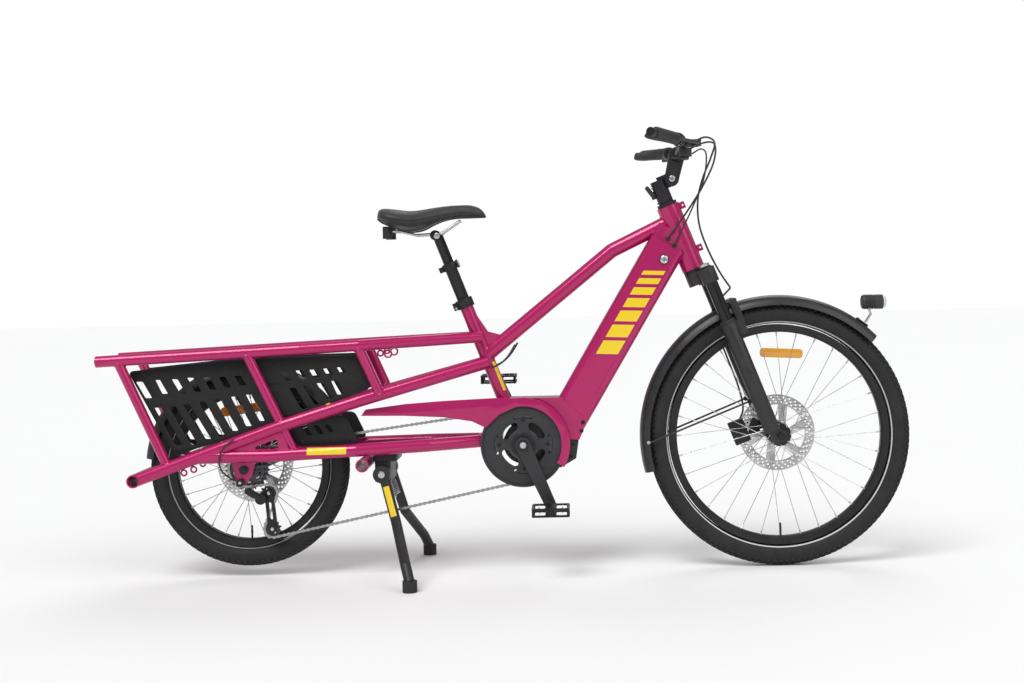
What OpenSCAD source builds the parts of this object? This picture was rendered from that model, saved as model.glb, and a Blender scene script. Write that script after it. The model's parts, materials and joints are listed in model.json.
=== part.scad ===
// Long-tail electric cargo bicycle standing on its two-leg kickstand.
// +X is forward, +Z is up, -Y is the drive side. The origin is on the ground,
// halfway between the rear end of the rack and the front of the front tyre.

/* [Overall] */
// Distance between the two wheel axles
wheelbase = 1374; // [1250:1:1500]
// From the rear axle back to the end of the rack rails
rear_overhang = 366; // [340:1:420]
// Height of the rear tyre above the ground while the stand is down
rear_lift = 26; // [10:1:50]
// Steering axis angle above the horizontal
head_angle = 68.8; // [66:0.1:72]
// Seat tube angle above the horizontal
seat_angle = 69.1; // [66:0.1:74]

/* [Wheels] */
// Outer diameter of the front tyre
front_tyre_d = 680; // [640:1:720]
// Outer diameter of the rear tyre
rear_tyre_d = 516; // [480:1:540]
// Section width of the front tyre
front_tyre_w = 58; // [45:1:64]
// Section width of the rear tyre
rear_tyre_w = 54; // [45:1:60]
// Radial depth of both rims
rim_depth = 20; // [16:1:28]
// Diameter of both brake rotors
rotor_d = 200; // [160:1:204]
// Spokes in each wheel
spoke_count = 32; // [24:4:40]
// Diameter of a spoke
spoke_d = 2; // [1.8:0.1:2.6]

/* [Fork and steering] */
// Distance of the front axle ahead of the steering axis
fork_offset = 41; // [30:1:55]
// Distance of the fork legs ahead of the steering axis
leg_offset = 24; // [10:1:30]
// Distance between the two fork legs
leg_spacing = 130; // [120:1:150]
// Diameter of the fixed upper legs
stanchion_d = 32; // [28:1:36]
// Diameter of the sliding lower legs
lower_leg_d = 42; // [38:1:46]
// Sliding length of the fork
fork_travel = 65; // [40:1:80]
// Length of the head tube
head_tube_l = 177; // [140:1:200]
// Diameter of the steerer tube
steerer_d = 28.6; // [25.4:0.1:31.8]

/* [Frame tubes] */
// Diameter of the head tube
head_tube_d = 60; // [50:1:64]
// Diameter of the top tube
top_tube_d = 38; // [32:1:45]
// Depth of the down tube seen from the side
down_tube_depth = 98; // [85:1:110]
// Width of the down tube
down_tube_w = 74; // [66:1:84]
// Wall of the down tube
down_tube_wall = 3; // [2:0.5:5]
// Diameter of the seat tube
seat_tube_d = 35; // [34:0.5:40]
// Diameter of the upper rack rails
rail_d = 29; // [25:1:32]
// Diameter of the diagonal and lower rails
stay_d = 33; // [28:1:36]
// Diameter of the rack struts
strut_d = 25; // [19:1:28]
// Distance between the centres of the two rack rails
rack_width = 194; // [185:1:230]
// Outer diameter of the open accessory tubes
cross_tube_d = 34; // [30:1:38]
// Bore of the open accessory tubes
cross_bore_d = 27; // [22:1:29]

/* [Drive] */
// Teeth on the chainring
chainring_teeth = 46; // [38:2:48]
// Teeth on the sprocket that carries the chain
sprocket_teeth = 23; // [15:1:26]
// Teeth on each derailleur pulley
jockey_teeth = 11; // [10:1:12]
// Length of the crank arms
crank_l = 172; // [160:0.5:180]
// Distance of the chain from the centre plane
chain_line = 49; // [47:0.5:52]
// Diameter of the crank spindle
spindle_d = 24; // [19:1:26]

/* [Cockpit] */
// Width of the handlebar over the grips
bar_w = 700; // [620:1:760]
// Diameter of the handlebar at the stem
bar_clamp_d = 31.8; // [25.4:0.1:35]
// Diameter of the handlebar under the grips
bar_d = 22.2; // [22:0.1:24]
// Distance from the stem hinge to the handlebar
stem_arm_l = 62; // [55:1:90]
// Tilt of the stem arm above the line square to the steering axis
stem_tilt = 55; // [20:1:70]
// Length of each grip
grip_l = 130; // [110:1:145]

/* [Seat] */
// Diameter of the seatpost inside the seat tube
seatpost_d = 31.6; // [30:0.1:32]
// Diameter of the upper shaft of the seatpost
post_shaft_d = 27.2; // [25:0.1:28]
// Length of the saddle
saddle_l = 280; // [250:1:300]
// Width of the saddle
saddle_w = 160; // [140:1:200]
// Height of the saddle top above the ground
saddle_z = 953; // [900:1:1000]

/* [Kickstand] */
// Distance between the centres of the two feet
stand_w = 512; // [420:1:560]
// Diameter of the stand legs
stand_leg_d = 26; // [22:1:30]
// Diameter of the rubber feet
foot_d = 36; // [30:1:44]

/* [Hidden] */
$fn = 64;

gap = 0.3;
fit = 0.05;
front_r = front_tyre_d / 2;
rear_r = rear_tyre_d / 2;
front_x = (wheelbase + rear_overhang + front_r) / 2 - front_r;
rear_x = front_x - wheelbase;
rear_z = rear_r + rear_lift;
bb_x = rear_x + 712;
bb_z = 332;
front_bead_r = front_r - front_tyre_w + 3;
rear_bead_r = rear_r - rear_tyre_w + 3;
lean = 90 - head_angle;
seat_lean = 90 - seat_angle;
frame_pink = [0.78, 0.10, 0.42];
black = [0.06, 0.06, 0.07];
grey = [0.45, 0.46, 0.48];
silver = [0.75, 0.76, 0.78];
rubber = [0.09, 0.09, 0.09];
yellow = [0.85, 0.72, 0.1];

// Points in the frames of the steering axis, the seat tube, the rear axle and the bottom bracket
function steer_pt(x, z, y = 0) = [
    front_x + (x - fork_offset) * cos(lean) - z * sin(lean),
    y,
    front_r + (x - fork_offset) * sin(lean) + z * cos(lean)
];
function seat_pt(z, y = 0) = [bb_x - 7 - z * sin(seat_lean), y, bb_z + z * cos(seat_lean)];
function rear_pt(x, z, y = 0) = [rear_x + x, y, rear_z + z];
function bb_pt(x, z, y = 0) = [bb_x + x, y, bb_z + z];

// Steering column heights measured along the steering axis from the axle
head_z0 = 480;
head_z1 = head_z0 + head_tube_l;
crown_top = head_z0 - 8;
crown_bottom = crown_top - 34;
lowers_top = 318;
stem_z = head_z1 + 9;
pivot_x = 36;
pivot_z = head_z1 + 61;
bar_x = pivot_x + stem_arm_l * cos(stem_tilt);
bar_z = pivot_z + stem_arm_l * sin(stem_tilt);
bar_c = steer_pt(bar_x, bar_z);

// Seat tube heights measured along the seat tube from the bottom bracket
seat_tube_z0 = 126;
seat_tube_z1 = 398;
post_step = 500;
post_top = 580;

// Frame nodes
down_bottom = bb_pt(131, 85);
down_top = steer_pt(-38, head_z0 + 85);
down_lean = atan2(down_top.x - down_bottom.x, down_top.z - down_bottom.z);
down_l = norm(down_top - down_bottom);
top_head = steer_pt(0, head_z1 - 38);
top_bend = top_head + [-161, 0, -77];
top_seat = seat_pt(243);
cradle_w = 80;
cradle_wall = 4;
rail_y = rack_width / 2;
rail_slope = 0.042;
function rail_z(x) = 299 + rail_slope * x;
rail_front = seat_pt(296).x + 10 - rear_x;
axle_half = 74;
skirt_y = rail_y - stay_d / 2 - 6;
skirt_t = 3;

// Drive sizes, with the half-inch chain pitch
pitch = 12.7;
ring_r = chainring_teeth * pitch / 2 / PI;
sprocket_r = sprocket_teeth * pitch / 2 / PI;
jockey_r = jockey_teeth * pitch / 2 / PI;
chain_h = 8;
chain_w = 7;
guard_r = ring_r + 17;
upper_jockey = rear_pt(56, -64, -chain_line);
lower_jockey = rear_pt(64, -156, -chain_line);
cage_pivot = rear_pt(38, -77, -chain_line);
crank_angle = -66.4;
pedal_y = 96;

// Kickstand
stand_pivot = rear_pt(351, -18);
stand_y = 78;
foot_x = rear_x + 436;
foot_h = 22;

module rod(a, b, r) {
    d = b - a;
    l = norm(d);
    translate(a) rotate([0, acos(d.z / l), atan2(d.y, d.x)]) cylinder(h = l, r = r);
}

// A bent tube: straight rods with a ball a hair larger than the tube at each bend
module path_rods(points, r) {
    for (i = [0:len(points) - 2]) rod(points[i], points[i + 1], r);
    for (i = [1:1:len(points) - 2]) translate(points[i]) sphere(r + 0.1);
}

// A cylinder along Y between two sideways places
module pin(at, r, y0, y1) {
    translate([at.x, y0, at.z]) rotate([-90, 0, 0]) cylinder(h = y1 - y0, r = r);
}

// A flat plate in the XZ plane between two sideways places, points given as [x, z]
module plate(points, y0, y1) {
    translate([0, y1, 0]) rotate([90, 0, 0]) linear_extrude(y1 - y0) polygon(points);
}

module steer_frame() {
    translate([front_x, 0, front_r]) rotate([0, -lean, 0]) translate([-fork_offset, 0, 0]) children();
}

module seat_frame() {
    translate(seat_pt(0)) rotate([0, -seat_lean, 0]) children();
}

module down_frame() {
    translate(down_bottom) rotate([0, down_lean, 0]) children();
}

module both_sides() {
    children();
    mirror([0, 1, 0]) children();
}

// A ring about the Y axis at a point, from the section [radius, sideways]
module ring_at(at) {
    translate(at) rotate([90, 0, 0]) rotate_extrude() children();
}

// Rounded rectangle
module soft_rect(w, d, r) {
    translate([-w / 2, -d / 2 + r]) square([w, d - 2 * r]);
    translate([-w / 2 + r, -d / 2]) square([w - 2 * r, d]);
    for (x = [-1, 1], y = [-1, 1]) translate([x * (w / 2 - r), y * (d / 2 - r)]) circle(r);
}

// Tube swept along a list of points as one closed mesh
function unit(v) = v / norm(v);
function tangent(p, i) = unit(p[min(i + 1, len(p) - 1)] - p[max(i - 1, 0)]);
function side_of(t) = unit(cross(t, abs(t.y) > 0.8 ? [0, 0, 1] : [0, 1, 0]));
function smooth(p) = [
    for (i = [0:len(p) - 2], s = [0:3])
        let (a = p[max(i - 1, 0)], b = p[i], c = p[i + 1], d = p[min(i + 2, len(p) - 1)], u = s / 4)
            0.5 * (2 * b + (c - a) * u + (2 * a - 5 * b + 4 * c - d) * u * u
                + (3 * b - a - 3 * c + d) * u * u * u),
    p[len(p) - 1]
];

module swept_tube(path, r, sides = 8) {
    p = smooth(path);
    n = len(p);
    rings = [
        for (i = [0:n - 1], s = [0:sides - 1])
            let (t = tangent(p, i), u = side_of(t), v = cross(t, u), a = 360 * s / sides)
                p[i] + r * (cos(a) * u + sin(a) * v)
    ];
    walls = [
        for (i = [0:n - 2], s = [0:sides - 1])
            let (a = i * sides + s, b = i * sides + (s + 1) % sides)
                [a, a + sides, b + sides, b]
    ];
    polyhedron(rings, concat(
        walls,
        [[for (s = [0:sides - 1]) s]],
        [[for (s = [sides - 1:-1:0]) (n - 1) * sides + s]]
    ));
}

// ---------------------------------------------------------------- frame

module down_tube_body(extra = 0) {
    translate([0, 0, -25]) linear_extrude(down_l + 25)
        soft_rect(down_tube_depth + extra, down_tube_w + extra, 16);
}

cover_depth = 20;
head_joint_l = 38;
cover_z0 = 50;
cover_z1 = down_l - 62;

module cradle_side() {
    points = [
        [-84, 24], [-60, 117], [98, 117], [166, 56], [144, 7], [70, 13], [42, 60],
        [-38, 60], [-53, 24], [-53, -17], [-84, -17]
    ];
    plate([for (p = points) [bb_x + p.x, bb_z + p.y]], -cradle_w / 2, cradle_w / 2);
}

module main_frame() {
    color(frame_pink) difference() {
        union() {
            steer_frame() translate([0, 0, head_z0]) cylinder(h = head_tube_l, d = head_tube_d);
            rod(top_head, top_bend, top_tube_d / 2);
            rod(top_bend + 3 * unit(top_bend - top_seat), top_seat, top_tube_d / 2);
            down_frame() {
                down_tube_body();
                translate([0, 0, down_l - head_joint_l / 2]) linear_extrude(1.5 * head_joint_l)
                    soft_rect(down_tube_depth, head_tube_d - 6, 16);
            }
            seat_frame() translate([0, 0, seat_tube_z0 - 20])
                cylinder(h = seat_tube_z1 - seat_tube_z0 + 20, d = seat_tube_d);
            cradle_side();
            plate([
                [seat_pt(384).x + 10, seat_pt(384).z], [seat_pt(310).x + 30, seat_pt(310).z],
                [top_seat.x + 44, top_seat.z + 52], [top_seat.x, top_seat.z], [seat_pt(384).x, seat_pt(384).z - 30]
            ], -8, 8);
            for (z = [head_z0 + 46, head_z1 - 12])
                steer_frame() translate([head_tube_d / 2 - 3, -8, z - 9]) cube([16, 16, 18]);
        }
        steer_frame() translate([0, 0, head_z0 - 1]) cylinder(h = head_tube_l + 2, r = 22);
        seat_frame() translate([0, 0, seat_tube_z0 + 8]) cylinder(h = 400, d = seatpost_d + 2 * fit);
        down_frame() {
            translate([0, 0, 10]) linear_extrude(down_l - 50)
                soft_rect(down_tube_depth - 2 * down_tube_wall, down_tube_w - 2 * down_tube_wall, 13);
            translate([down_tube_depth / 2 - cover_depth, -down_tube_w, cover_z0])
                cube([down_tube_depth, 2 * down_tube_w, cover_z1 - cover_z0]);
        }
        motor_bay();
        for (z = [head_z0 + 46, head_z1 - 12])
            steer_frame() translate([head_tube_d / 2 + 7, -9, z]) rotate([-90, 0, 0]) cylinder(h = 18, r = 2.6);
    }
}

// Space between the cradle walls for the motor
module motor_bay() {
    plate([
        [bb_x - 52.7, bb_z - 40], [bb_x - 52.7, bb_z + 60], [bb_x - 20, bb_z + 100], [bb_x + 70, bb_z + 100],
        [bb_x + 150, bb_z + 40], [bb_x + 170, bb_z - 40]
    ], -cradle_w / 2 + cradle_wall, cradle_w / 2 - cradle_wall);
}

module battery() {
    color(black) down_frame() translate([-2, 0, cover_z0 + 4])
        linear_extrude(cover_z1 - cover_z0 - 12) soft_rect(down_tube_depth - 32, down_tube_w - 16, 8);
}

module battery_cover() {
    color(frame_pink) down_frame() translate([0, 0, cover_z0 + gap])
        linear_extrude(cover_z1 - cover_z0 - 2 * gap) difference() {
            soft_rect(down_tube_depth, down_tube_w, 16);
            translate([-down_tube_depth + down_tube_depth / 2 - cover_depth + gap, -down_tube_w])
                square([down_tube_depth, 2 * down_tube_w]);
            soft_rect(down_tube_depth - 2 * down_tube_wall, down_tube_w - 2 * down_tube_wall, 13);
        }
    color(grey) down_frame() translate([10, -down_tube_w / 2 - 3, cover_z1 + 22])
        rotate([-90, 0, 0]) cylinder(h = 3, r = 12.5);
}

module motor_unit() {
    y = cradle_w / 2 - cradle_wall - gap;
    color(black) difference() {
        union() {
            pin([bb_x, 0, bb_z], 52, -y, y);
            plate([
                [bb_x, bb_z - 52], [bb_x + 95, bb_z - 64], [bb_x + 135, bb_z - 41], [bb_x + 142, bb_z + 4],
                [bb_x + 66, bb_z + 66], [bb_x + 30, bb_z + 80], [bb_x, bb_z + 52]
            ], -y, y);
            pin([bb_x, 0, bb_z], 21, -chain_line + 5, chain_line - 5);
        }
        pin([bb_x, 0, bb_z], spindle_d / 2 + fit, -chain_line, chain_line);
    }
}

// One side of the rear frame: side is -1 for the drive side and 1 for the other
module rear_frame_side(side) {
    y = side * rail_y;
    in_y = side * (rail_y - 10);
    shell_y = side * 24;
    difference() {
        union() {
            path_rods([
                rear_pt(-rear_overhang, rail_z(-rear_overhang), y), rear_pt(150, rail_z(150), y),
                rear_pt(300, rail_z(300), in_y), rear_pt(rail_front, rail_z(rail_front), shell_y)
            ], rail_d / 2);
            path_rods([
                rear_pt(-278, -21, y), rear_pt(100, 112, y), rear_pt(300, 172, in_y),
                seat_pt(226, shell_y)
            ], stay_d / 2);
            path_rods([
                rear_pt(-108, 36, y), rear_pt(66, 37, y), rear_pt(290, 46, y), rear_pt(470, 52, y - side * 30),
                bb_pt(-116, 8, side * 26), bb_pt(-84.5, 8, side * 26)
            ], stay_d / 2);
            rod(rear_pt(-312, rail_z(-312), y), rear_pt(-189, 13, y), strut_d / 2);
            rod(rear_pt(14, rail_z(14), y), rear_pt(103, 112, y), strut_d / 2);
            rod(rear_pt(296, rail_z(296), in_y), rear_pt(352, 184, in_y), strut_d / 2);
            rod(rear_pt(104, 112, y), rear_pt(136, 42, y), strut_d / 2 - 3);
            plate([for (p = gusset_outline) [rear_x + p.x, rear_z + p.y]], y - gusset_t / 2, y + gusset_t / 2);
            plate([
                [rear_x - 32, rear_z + 30], [rear_x + 32, rear_z + 32], [rear_x + 20, rear_z - 16],
                [rear_x - 4, rear_z - 42], [rear_x - 18, rear_z - 40], [rear_x - 24, rear_z - 10]
            ], side * (axle_half + 4.5) - 4.5, side * (axle_half + 4.5) + 4.5);
        }
        seat_frame() cylinder(h = seat_tube_z1, d = seat_tube_d);
        rod(top_bend, top_seat + 40 * unit(top_seat - top_bend), top_tube_d / 2);
        cradle_side();
        pin([rear_x, 0, rear_z], 6.05, -2 * axle_half, 2 * axle_half);
        for (p = cross_tube_places) pin(p, cross_tube_d / 2, -2 * rail_y, 2 * rail_y);
        plate([for (p = gusset_window) [rear_x + p.x, rear_z + p.y]], y - gusset_t, y + gusset_t);
    }
}

// Plate that fills the corner where the diagonal rail meets the lower one, and its window
gusset_t = 9;
gusset_outline = [[-86, 40], [60, 36], [122, 42], [104, 106], [60, 94], [-30, 62]];
gusset_window = [[34, 54], [88, 54], [94, 60], [90, 76], [84, 78], [34, 60]];

cross_tube_places = [rear_pt(-275, -20), rear_pt(305, 8)];
cross_half = rail_y + 14;

module rear_frame_right() {
    color(frame_pink) mirror([0, 1, 0]) rear_frame_side(1);
}

module rear_frame_left() {
    color(frame_pink) mirror([0, 1, 0]) rear_frame_side(-1);
}

module rack_cross_tubes() {
    inner = rail_y - rail_d / 2;
    color(frame_pink) {
        for (p = cross_tube_places) difference() {
            pin(p, cross_tube_d / 2, -cross_half, cross_half);
            pin(p, cross_bore_d / 2, -cross_half - 1, cross_half + 1);
        }
        for (x = [-330, 14]) difference() {
            pin(rear_pt(x, rail_z(x)), 9, -rail_y, rail_y);
            both_sides() rod(rear_pt(-rear_overhang, rail_z(-rear_overhang), -rail_y),
                rear_pt(150, rail_z(150), -rail_y), rail_d / 2);
        }
        difference() {
            pin(rear_pt(296, rail_z(296)), 9, -rail_y + 10, rail_y - 10);
            both_sides() path_rods([
                rear_pt(150, rail_z(150), -rail_y), rear_pt(300, rail_z(300), -rail_y + 10),
                rear_pt(rail_front, rail_z(rail_front), -24)
            ], rail_d / 2);
        }
    }
}

module skirt_outline() {
    polygon([
        [-291, 256], [-40, 279], [120, 284], [288, 286], [329, 202], [75, 116], [-120, 58], [-176, 38]
    ]);
    polygon([[75, 118], [110, 128], [262, 130], [294, 62], [140, 56]]);
}

module skirt_slots() {
    for (x = [-240:46:240]) {
        translate([x, 236]) rotate(-62) square([44, 9], center = true);
        translate([x - 20, 178]) rotate(-62) square([60, 9], center = true);
    }
}

module wheel_skirts() {
    color(black) both_sides() translate([rear_x, -skirt_y + skirt_t / 2, rear_z]) rotate([90, 0, 0])
        linear_extrude(skirt_t) difference() {
            skirt_outline();
            intersection() {
                skirt_slots();
                polygon([[-268, 250], [275, 274], [305, 205], [75, 140], [-160, 66]]);
            }
        }
}

module rear_fender() {
    outer = rear_r + 13;
    color(black) translate([rear_x, 0, rear_z]) rotate([90, 0, 0]) rotate([0, 0, 28])
        rotate_extrude(angle = 146) difference() {
            translate([outer - 26, -34]) square([26, 68]);
            translate([outer - 30, -31]) square([27, 62]);
        }
}

module seat_clamp() {
    color(grey) seat_frame() difference() {
        union() {
            translate([0, 0, seat_tube_z1 - 20]) cylinder(h = 24, r = seat_tube_d / 2 + 5);
            translate([-seat_tube_d / 2 - 14, -10, seat_tube_z1 - 18]) cube([16, 20, 20]);
        }
        translate([0, 0, seat_tube_z1 - 21]) cylinder(h = 21, d = seat_tube_d);
        cylinder(h = 2 * seat_tube_z1, d = seatpost_d + 2 * fit);
        translate([-40, -1, seat_tube_z1 - 21]) cube([40, 2, 30]);
    }
}

module kickstand_bracket() {
    color(black) {
        difference() {
            union() {
                translate([stand_pivot.x - 24, -60, rear_z + 12]) cube([60, 120, 18]);
                translate([stand_pivot.x - 20, -stand_y + 16, stand_pivot.z - 22])
                    cube([40, 2 * stand_y - 32, rear_z + 12 - stand_pivot.z + 22]);
            }
            pin(stand_pivot, 8 + fit, -stand_y, stand_y);
        }
    }
    color(silver) both_sides() rod(
        [stand_pivot.x + 10, -40, stand_pivot.z - 24], [stand_pivot.x + 24, -40, stand_pivot.z - 60], 5);
}

module kickstand_legs() {
    color(black) {
        pin(stand_pivot, 8, -stand_y, stand_y);
        both_sides() {
            pin(stand_pivot, 22, -stand_y - 14, -stand_y + 16 - gap);
            path_rods([
                stand_pivot + [4, -stand_y, -4], stand_pivot + [36, -stand_y - 22, -120],
                [foot_x - 12, -stand_w / 2 + 26, 58], [foot_x, -stand_w / 2, foot_h]
            ], stand_leg_d / 2);
        }
    }
}

module kickstand_feet() {
    color(rubber) both_sides() translate([foot_x, -stand_w / 2, 0]) difference() {
        cylinder(h = foot_h + 6, d = foot_d);
        translate([-foot_x, stand_w / 2, 0]) rod(
            [foot_x - 12, -stand_w / 2 + 26, 58], [foot_x, -stand_w / 2, foot_h], stand_leg_d / 2);
    }
}

module rear_caliper() {
    color(black) difference() {
        union() {
            translate([rear_x + 52, 40, rear_z + 34]) cube([40, 32, 34]);
            pin(rear_pt(66, 32), 10, 58, axle_half);
        }
        translate([rear_x, 52, rear_z]) rotate([-90, 0, 0]) cylinder(h = 8, d = rotor_d + 4);
    }
}

module headset_cups() {
    color(black) steer_frame() {
        difference() {
            union() {
                translate([0, 0, crown_top + gap]) cylinder(h = head_z0 - crown_top - gap, r = 28);
                translate([0, 0, head_z0]) cylinder(h = 12, r = 22);
            }
            cylinder(h = 2 * head_z1, d = steerer_d + 2 * fit);
        }
        difference() {
            union() {
                translate([0, 0, head_z1]) cylinder(h = stem_z - head_z1 - gap, r = 26);
                translate([0, 0, head_z1 - 12]) cylinder(h = 12, r = 22);
            }
            cylinder(h = 2 * head_z1, d = steerer_d + 2 * fit);
        }
    }
}

module rear_axle() {
    color(black) {
        pin([rear_x, 0, rear_z], 6, -axle_half - 9, axle_half + 9);
        both_sides() pin([rear_x, 0, rear_z], 11, -axle_half - 16, -axle_half - 9);
    }
}

// ---------------------------------------------------------------- chain

// Turning sense of the chain round each wheel, counter-clockwise seen from the drive side
loop_c = [
    [bb_x, bb_z], [rear_x, rear_z], [upper_jockey.x, upper_jockey.z], [lower_jockey.x, lower_jockey.z]
];
loop_r = [ring_r, sprocket_r, jockey_r, jockey_r];
loop_s = [1, 1, -1, 1];
function run_angle(i) =
    let (j = (i + 1) % 4, d = loop_c[j] - loop_c[i])
        atan2(d.y, d.x) - asin((loop_s[j] * loop_r[j] - loop_s[i] * loop_r[i]) / norm(d));
function wrap_in(i) = run_angle((i + 3) % 4) - 90 * loop_s[i];
function wrap_out(i) = run_angle(i) - 90 * loop_s[i];
function wrap_span(i) = let (d = loop_s[i] * (wrap_out(i) - wrap_in(i))) d - 360 * floor(d / 360);
function chain_line_2d(shift) = [
    for (i = [0:3], k = [0:36])
        let (a = wrap_in(i) + loop_s[i] * wrap_span(i) * k / 36, r = loop_r[i] + loop_s[i] * shift)
            loop_c[i] + r * [cos(a), sin(a)]
];

module chain() {
    color(silver) difference() {
        plate(chain_line_2d(chain_h / 2), -chain_line - chain_w / 2, -chain_line + chain_w / 2);
        plate(chain_line_2d(-chain_h / 2), -chain_line - chain_w, -chain_line + chain_w);
    }
}

module sprocket(r, t) {
    translate([0, t / 2, 0]) rotate([90, 0, 0]) cylinder(h = t, r = r);
}

module cassette() {
    count = 8;
    color(grey) difference() {
        union() {
            for (i = [0:count - 1]) {
                y = -chain_line + 14 - i * 4;
                translate([rear_x, y, rear_z])
                    sprocket(i == 3 ? sprocket_r - chain_h / 2 - gap : 56 - i * 5.2, 2);
            }
            pin([rear_x, 0, rear_z], 19, -chain_line - 17, -chain_line + 16);
        }
        pin([rear_x, 0, rear_z], 17, -chain_line - 20, -chain_line + 20);
    }
}

module jockey_wheel(at) {
    color(black) difference() {
        pin(at, jockey_r - chain_h / 2 - gap, -chain_line - 2.5, -chain_line + 2.5);
        pin(at, 4 + fit, -chain_line - 5, -chain_line + 5);
    }
}

module jockey_upper() {
    jockey_wheel(upper_jockey);
}

module jockey_lower() {
    jockey_wheel(lower_jockey);
}

module derailleur_cage() {
    color(black) {
        for (s = [-1, 1]) {
            y = -chain_line + s * 7;
            hull() {
                pin(upper_jockey, 11, y - 1, y + 1);
                pin(lower_jockey, 11, y - 1, y + 1);
            }
            if (s < 0) hull() {
                pin(upper_jockey, 10, y - 1, y + 1);
                pin(cage_pivot, 11, y - 1, y + 1);
            }
        }
        for (p = [upper_jockey, lower_jockey]) pin(p, 4, -chain_line - 7, -chain_line + 7);
        pin(cage_pivot, 6, -chain_line - 18, -chain_line - 8);
    }
}

derailleur_bolt = rear_pt(-8, -31);

module derailleur_mount() {
    color(black) pin(derailleur_bolt, 10, -axle_half - 23, -axle_half - 9);
}

module derailleur_body() {
    color(black) difference() {
        union() {
            pin(cage_pivot, 14, -chain_line - 22, -chain_line - 9.5);
            hull() {
                pin(derailleur_bolt + [19, 0, -22], 8, -axle_half - 22, -axle_half - 12);
                pin(cage_pivot + [-4, 0, 4], 8, -chain_line - 22, -chain_line - 12);
            }
        }
        pin(cage_pivot, 6 + fit, -chain_line - 19, -chain_line);
    }
}

module chain_guard() {
    outer = guard_r + 10;
    y = -chain_line - 11;
    color(frame_pink) {
        plate([
            [bb_x - 414, bb_z + 82], [bb_x - 402, bb_z + 98], [bb_x - 300, bb_z + 110], [bb_x - 200, bb_z + 116],
            [bb_x - 60, bb_z + 121], [bb_x - 10, bb_z + outer - 2], [bb_x - 10, bb_z + 100], [bb_x - 60, bb_z + 78],
            [bb_x - 96, bb_z + 45], [bb_x - 130, bb_z + 62], [bb_x - 200, bb_z + 74], [bb_x - 305, bb_z + 80]
        ], y - 2.5, y);
        plate(concat(
            [for (a = [-30:5:100]) [bb_x + outer * cos(a), bb_z + outer * sin(a)]],
            [for (a = [100:-5:-30]) [bb_x + 98 * cos(a), bb_z + 98 * sin(a)]]
        ), y - 2.5, y);
        pin([bb_x - 60, 0, bb_z + 105], 5, y, -cradle_w / 2);
    }
}

module chainring() {
    color(black) difference() {
        union() {
            pin([bb_x, 0, bb_z], ring_r - chain_h / 2 - gap, -chain_line - 1.2, -chain_line + 1.2);
            pin([bb_x, 0, bb_z], 30, -chain_line - 12, -chain_line - 1.2);
            pin([bb_x, 0, bb_z], guard_r, -chain_line - 7.5, -chain_line - 5);
            for (a = [0:72:359]) translate([bb_x + 62 * cos(a), 0, bb_z + 62 * sin(a)])
                pin([0, 0, 0], 6, -chain_line - 7, -chain_line - 1);
        }
        pin([bb_x, 0, bb_z], spindle_d / 2, -chain_line - 20, -chain_line + 10);
        for (a = [36:72:359]) translate([bb_x + 66 * cos(a), 0, bb_z + 66 * sin(a)])
            pin([0, 0, 0], 17, -chain_line - 20, -chain_line + 10);
    }
}

function crank_end(side) = [
    bb_x + side * crank_l * cos(crank_angle), -side * 76, bb_z + side * crank_l * sin(crank_angle)
];

module crank_arm(side) {
    y0 = side > 0 ? -82 : 66;
    end = crank_end(side);
    difference() {
        hull() {
            pin([bb_x, 0, bb_z], 19, y0, y0 + 16);
            pin(end, 14, y0 + 2, y0 + 14);
        }
        pin(end, 7, y0 - 1, y0 + 17);
    }
}

module crank_arms() {
    color(black) {
        pin([bb_x, 0, bb_z], spindle_d / 2, -66, 66);
        crank_arm(1);
        crank_arm(-1);
    }
}

module pedal(side) {
    end = crank_end(side);
    y0 = side > 0 ? -pedal_y - 96 : pedal_y;
    color(black) difference() {
        union() {
            pin(end, 7 - fit, min(-side * 66, -side * (pedal_y + 90)), max(-side * 66, -side * (pedal_y + 90)));
            translate([end.x - 48, y0, end.z - 12]) cube([96, 96, 24]);
        }
        for (x = [-30, 30]) translate([end.x + x - 13, y0 + 12, end.z - 20]) cube([26, 72, 40]);
    }
}

module pedal_right() {
    pedal(1);
}

module pedal_left() {
    pedal(-1);
}

// ---------------------------------------------------------------- wheels

module tyre_section(outer, w, bead) {
    intersection() {
        translate([bead, -w]) square([outer, 2 * w]);
        difference() {
            translate([outer - w / 2, 0]) circle(w / 2);
            translate([outer - w / 2, 0]) circle(w / 2 - 4);
        }
    }
}

module rim_section(bead) {
    polygon([
        [bead - rim_depth, -9], [bead - rim_depth + 4, -14], [bead, -18], [bead, -15.5], [bead - 8, -13],
        [bead - 10, -6], [bead - 10, 6], [bead - 8, 13], [bead, 15.5], [bead, 18],
        [bead - rim_depth + 4, 14], [bead - rim_depth, 9]
    ]);
}

// Crossed spokes from two flanges to the rim, with the valve and a clip-on reflector
module spoke_set(at, bead, flange_r, flange_y, reflector_angle, reflector_r) {
    n = spoke_count;
    end_r = bead - rim_depth + 0.4;
    translate(at) {
        for (i = [0:n - 1]) {
            side = i % 2 == 0 ? 1 : -1;
            turn = floor(i / 2) % 2 == 0 ? 1 : -1;
            a = 360 * i / n;
            b = a - turn * 52;
            y0 = side > 0 ? flange_y[1] : flange_y[0];
            y1 = y0 + side * turn * 1.6;
            rod([flange_r * cos(b), y1, flange_r * sin(b)], [end_r * cos(a), side * 3, end_r * sin(a)], spoke_d / 2);
        }
        rotate([0, -270, 0]) translate([bead - rim_depth - 34, 0, 0]) rotate([0, 90, 0]) cylinder(h = 34.4, r = 3);
        rotate([0, -reflector_angle, 0]) translate([reflector_r - 12, -8, -56]) cube([24, 6, 112]);
    }
}

module front_tyre() {
    color(rubber) ring_at([front_x, 0, front_r]) tyre_section(front_r, front_tyre_w, front_bead_r);
}

module front_rim() {
    color(grey) ring_at([front_x, 0, front_r]) rim_section(front_bead_r);
}

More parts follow.
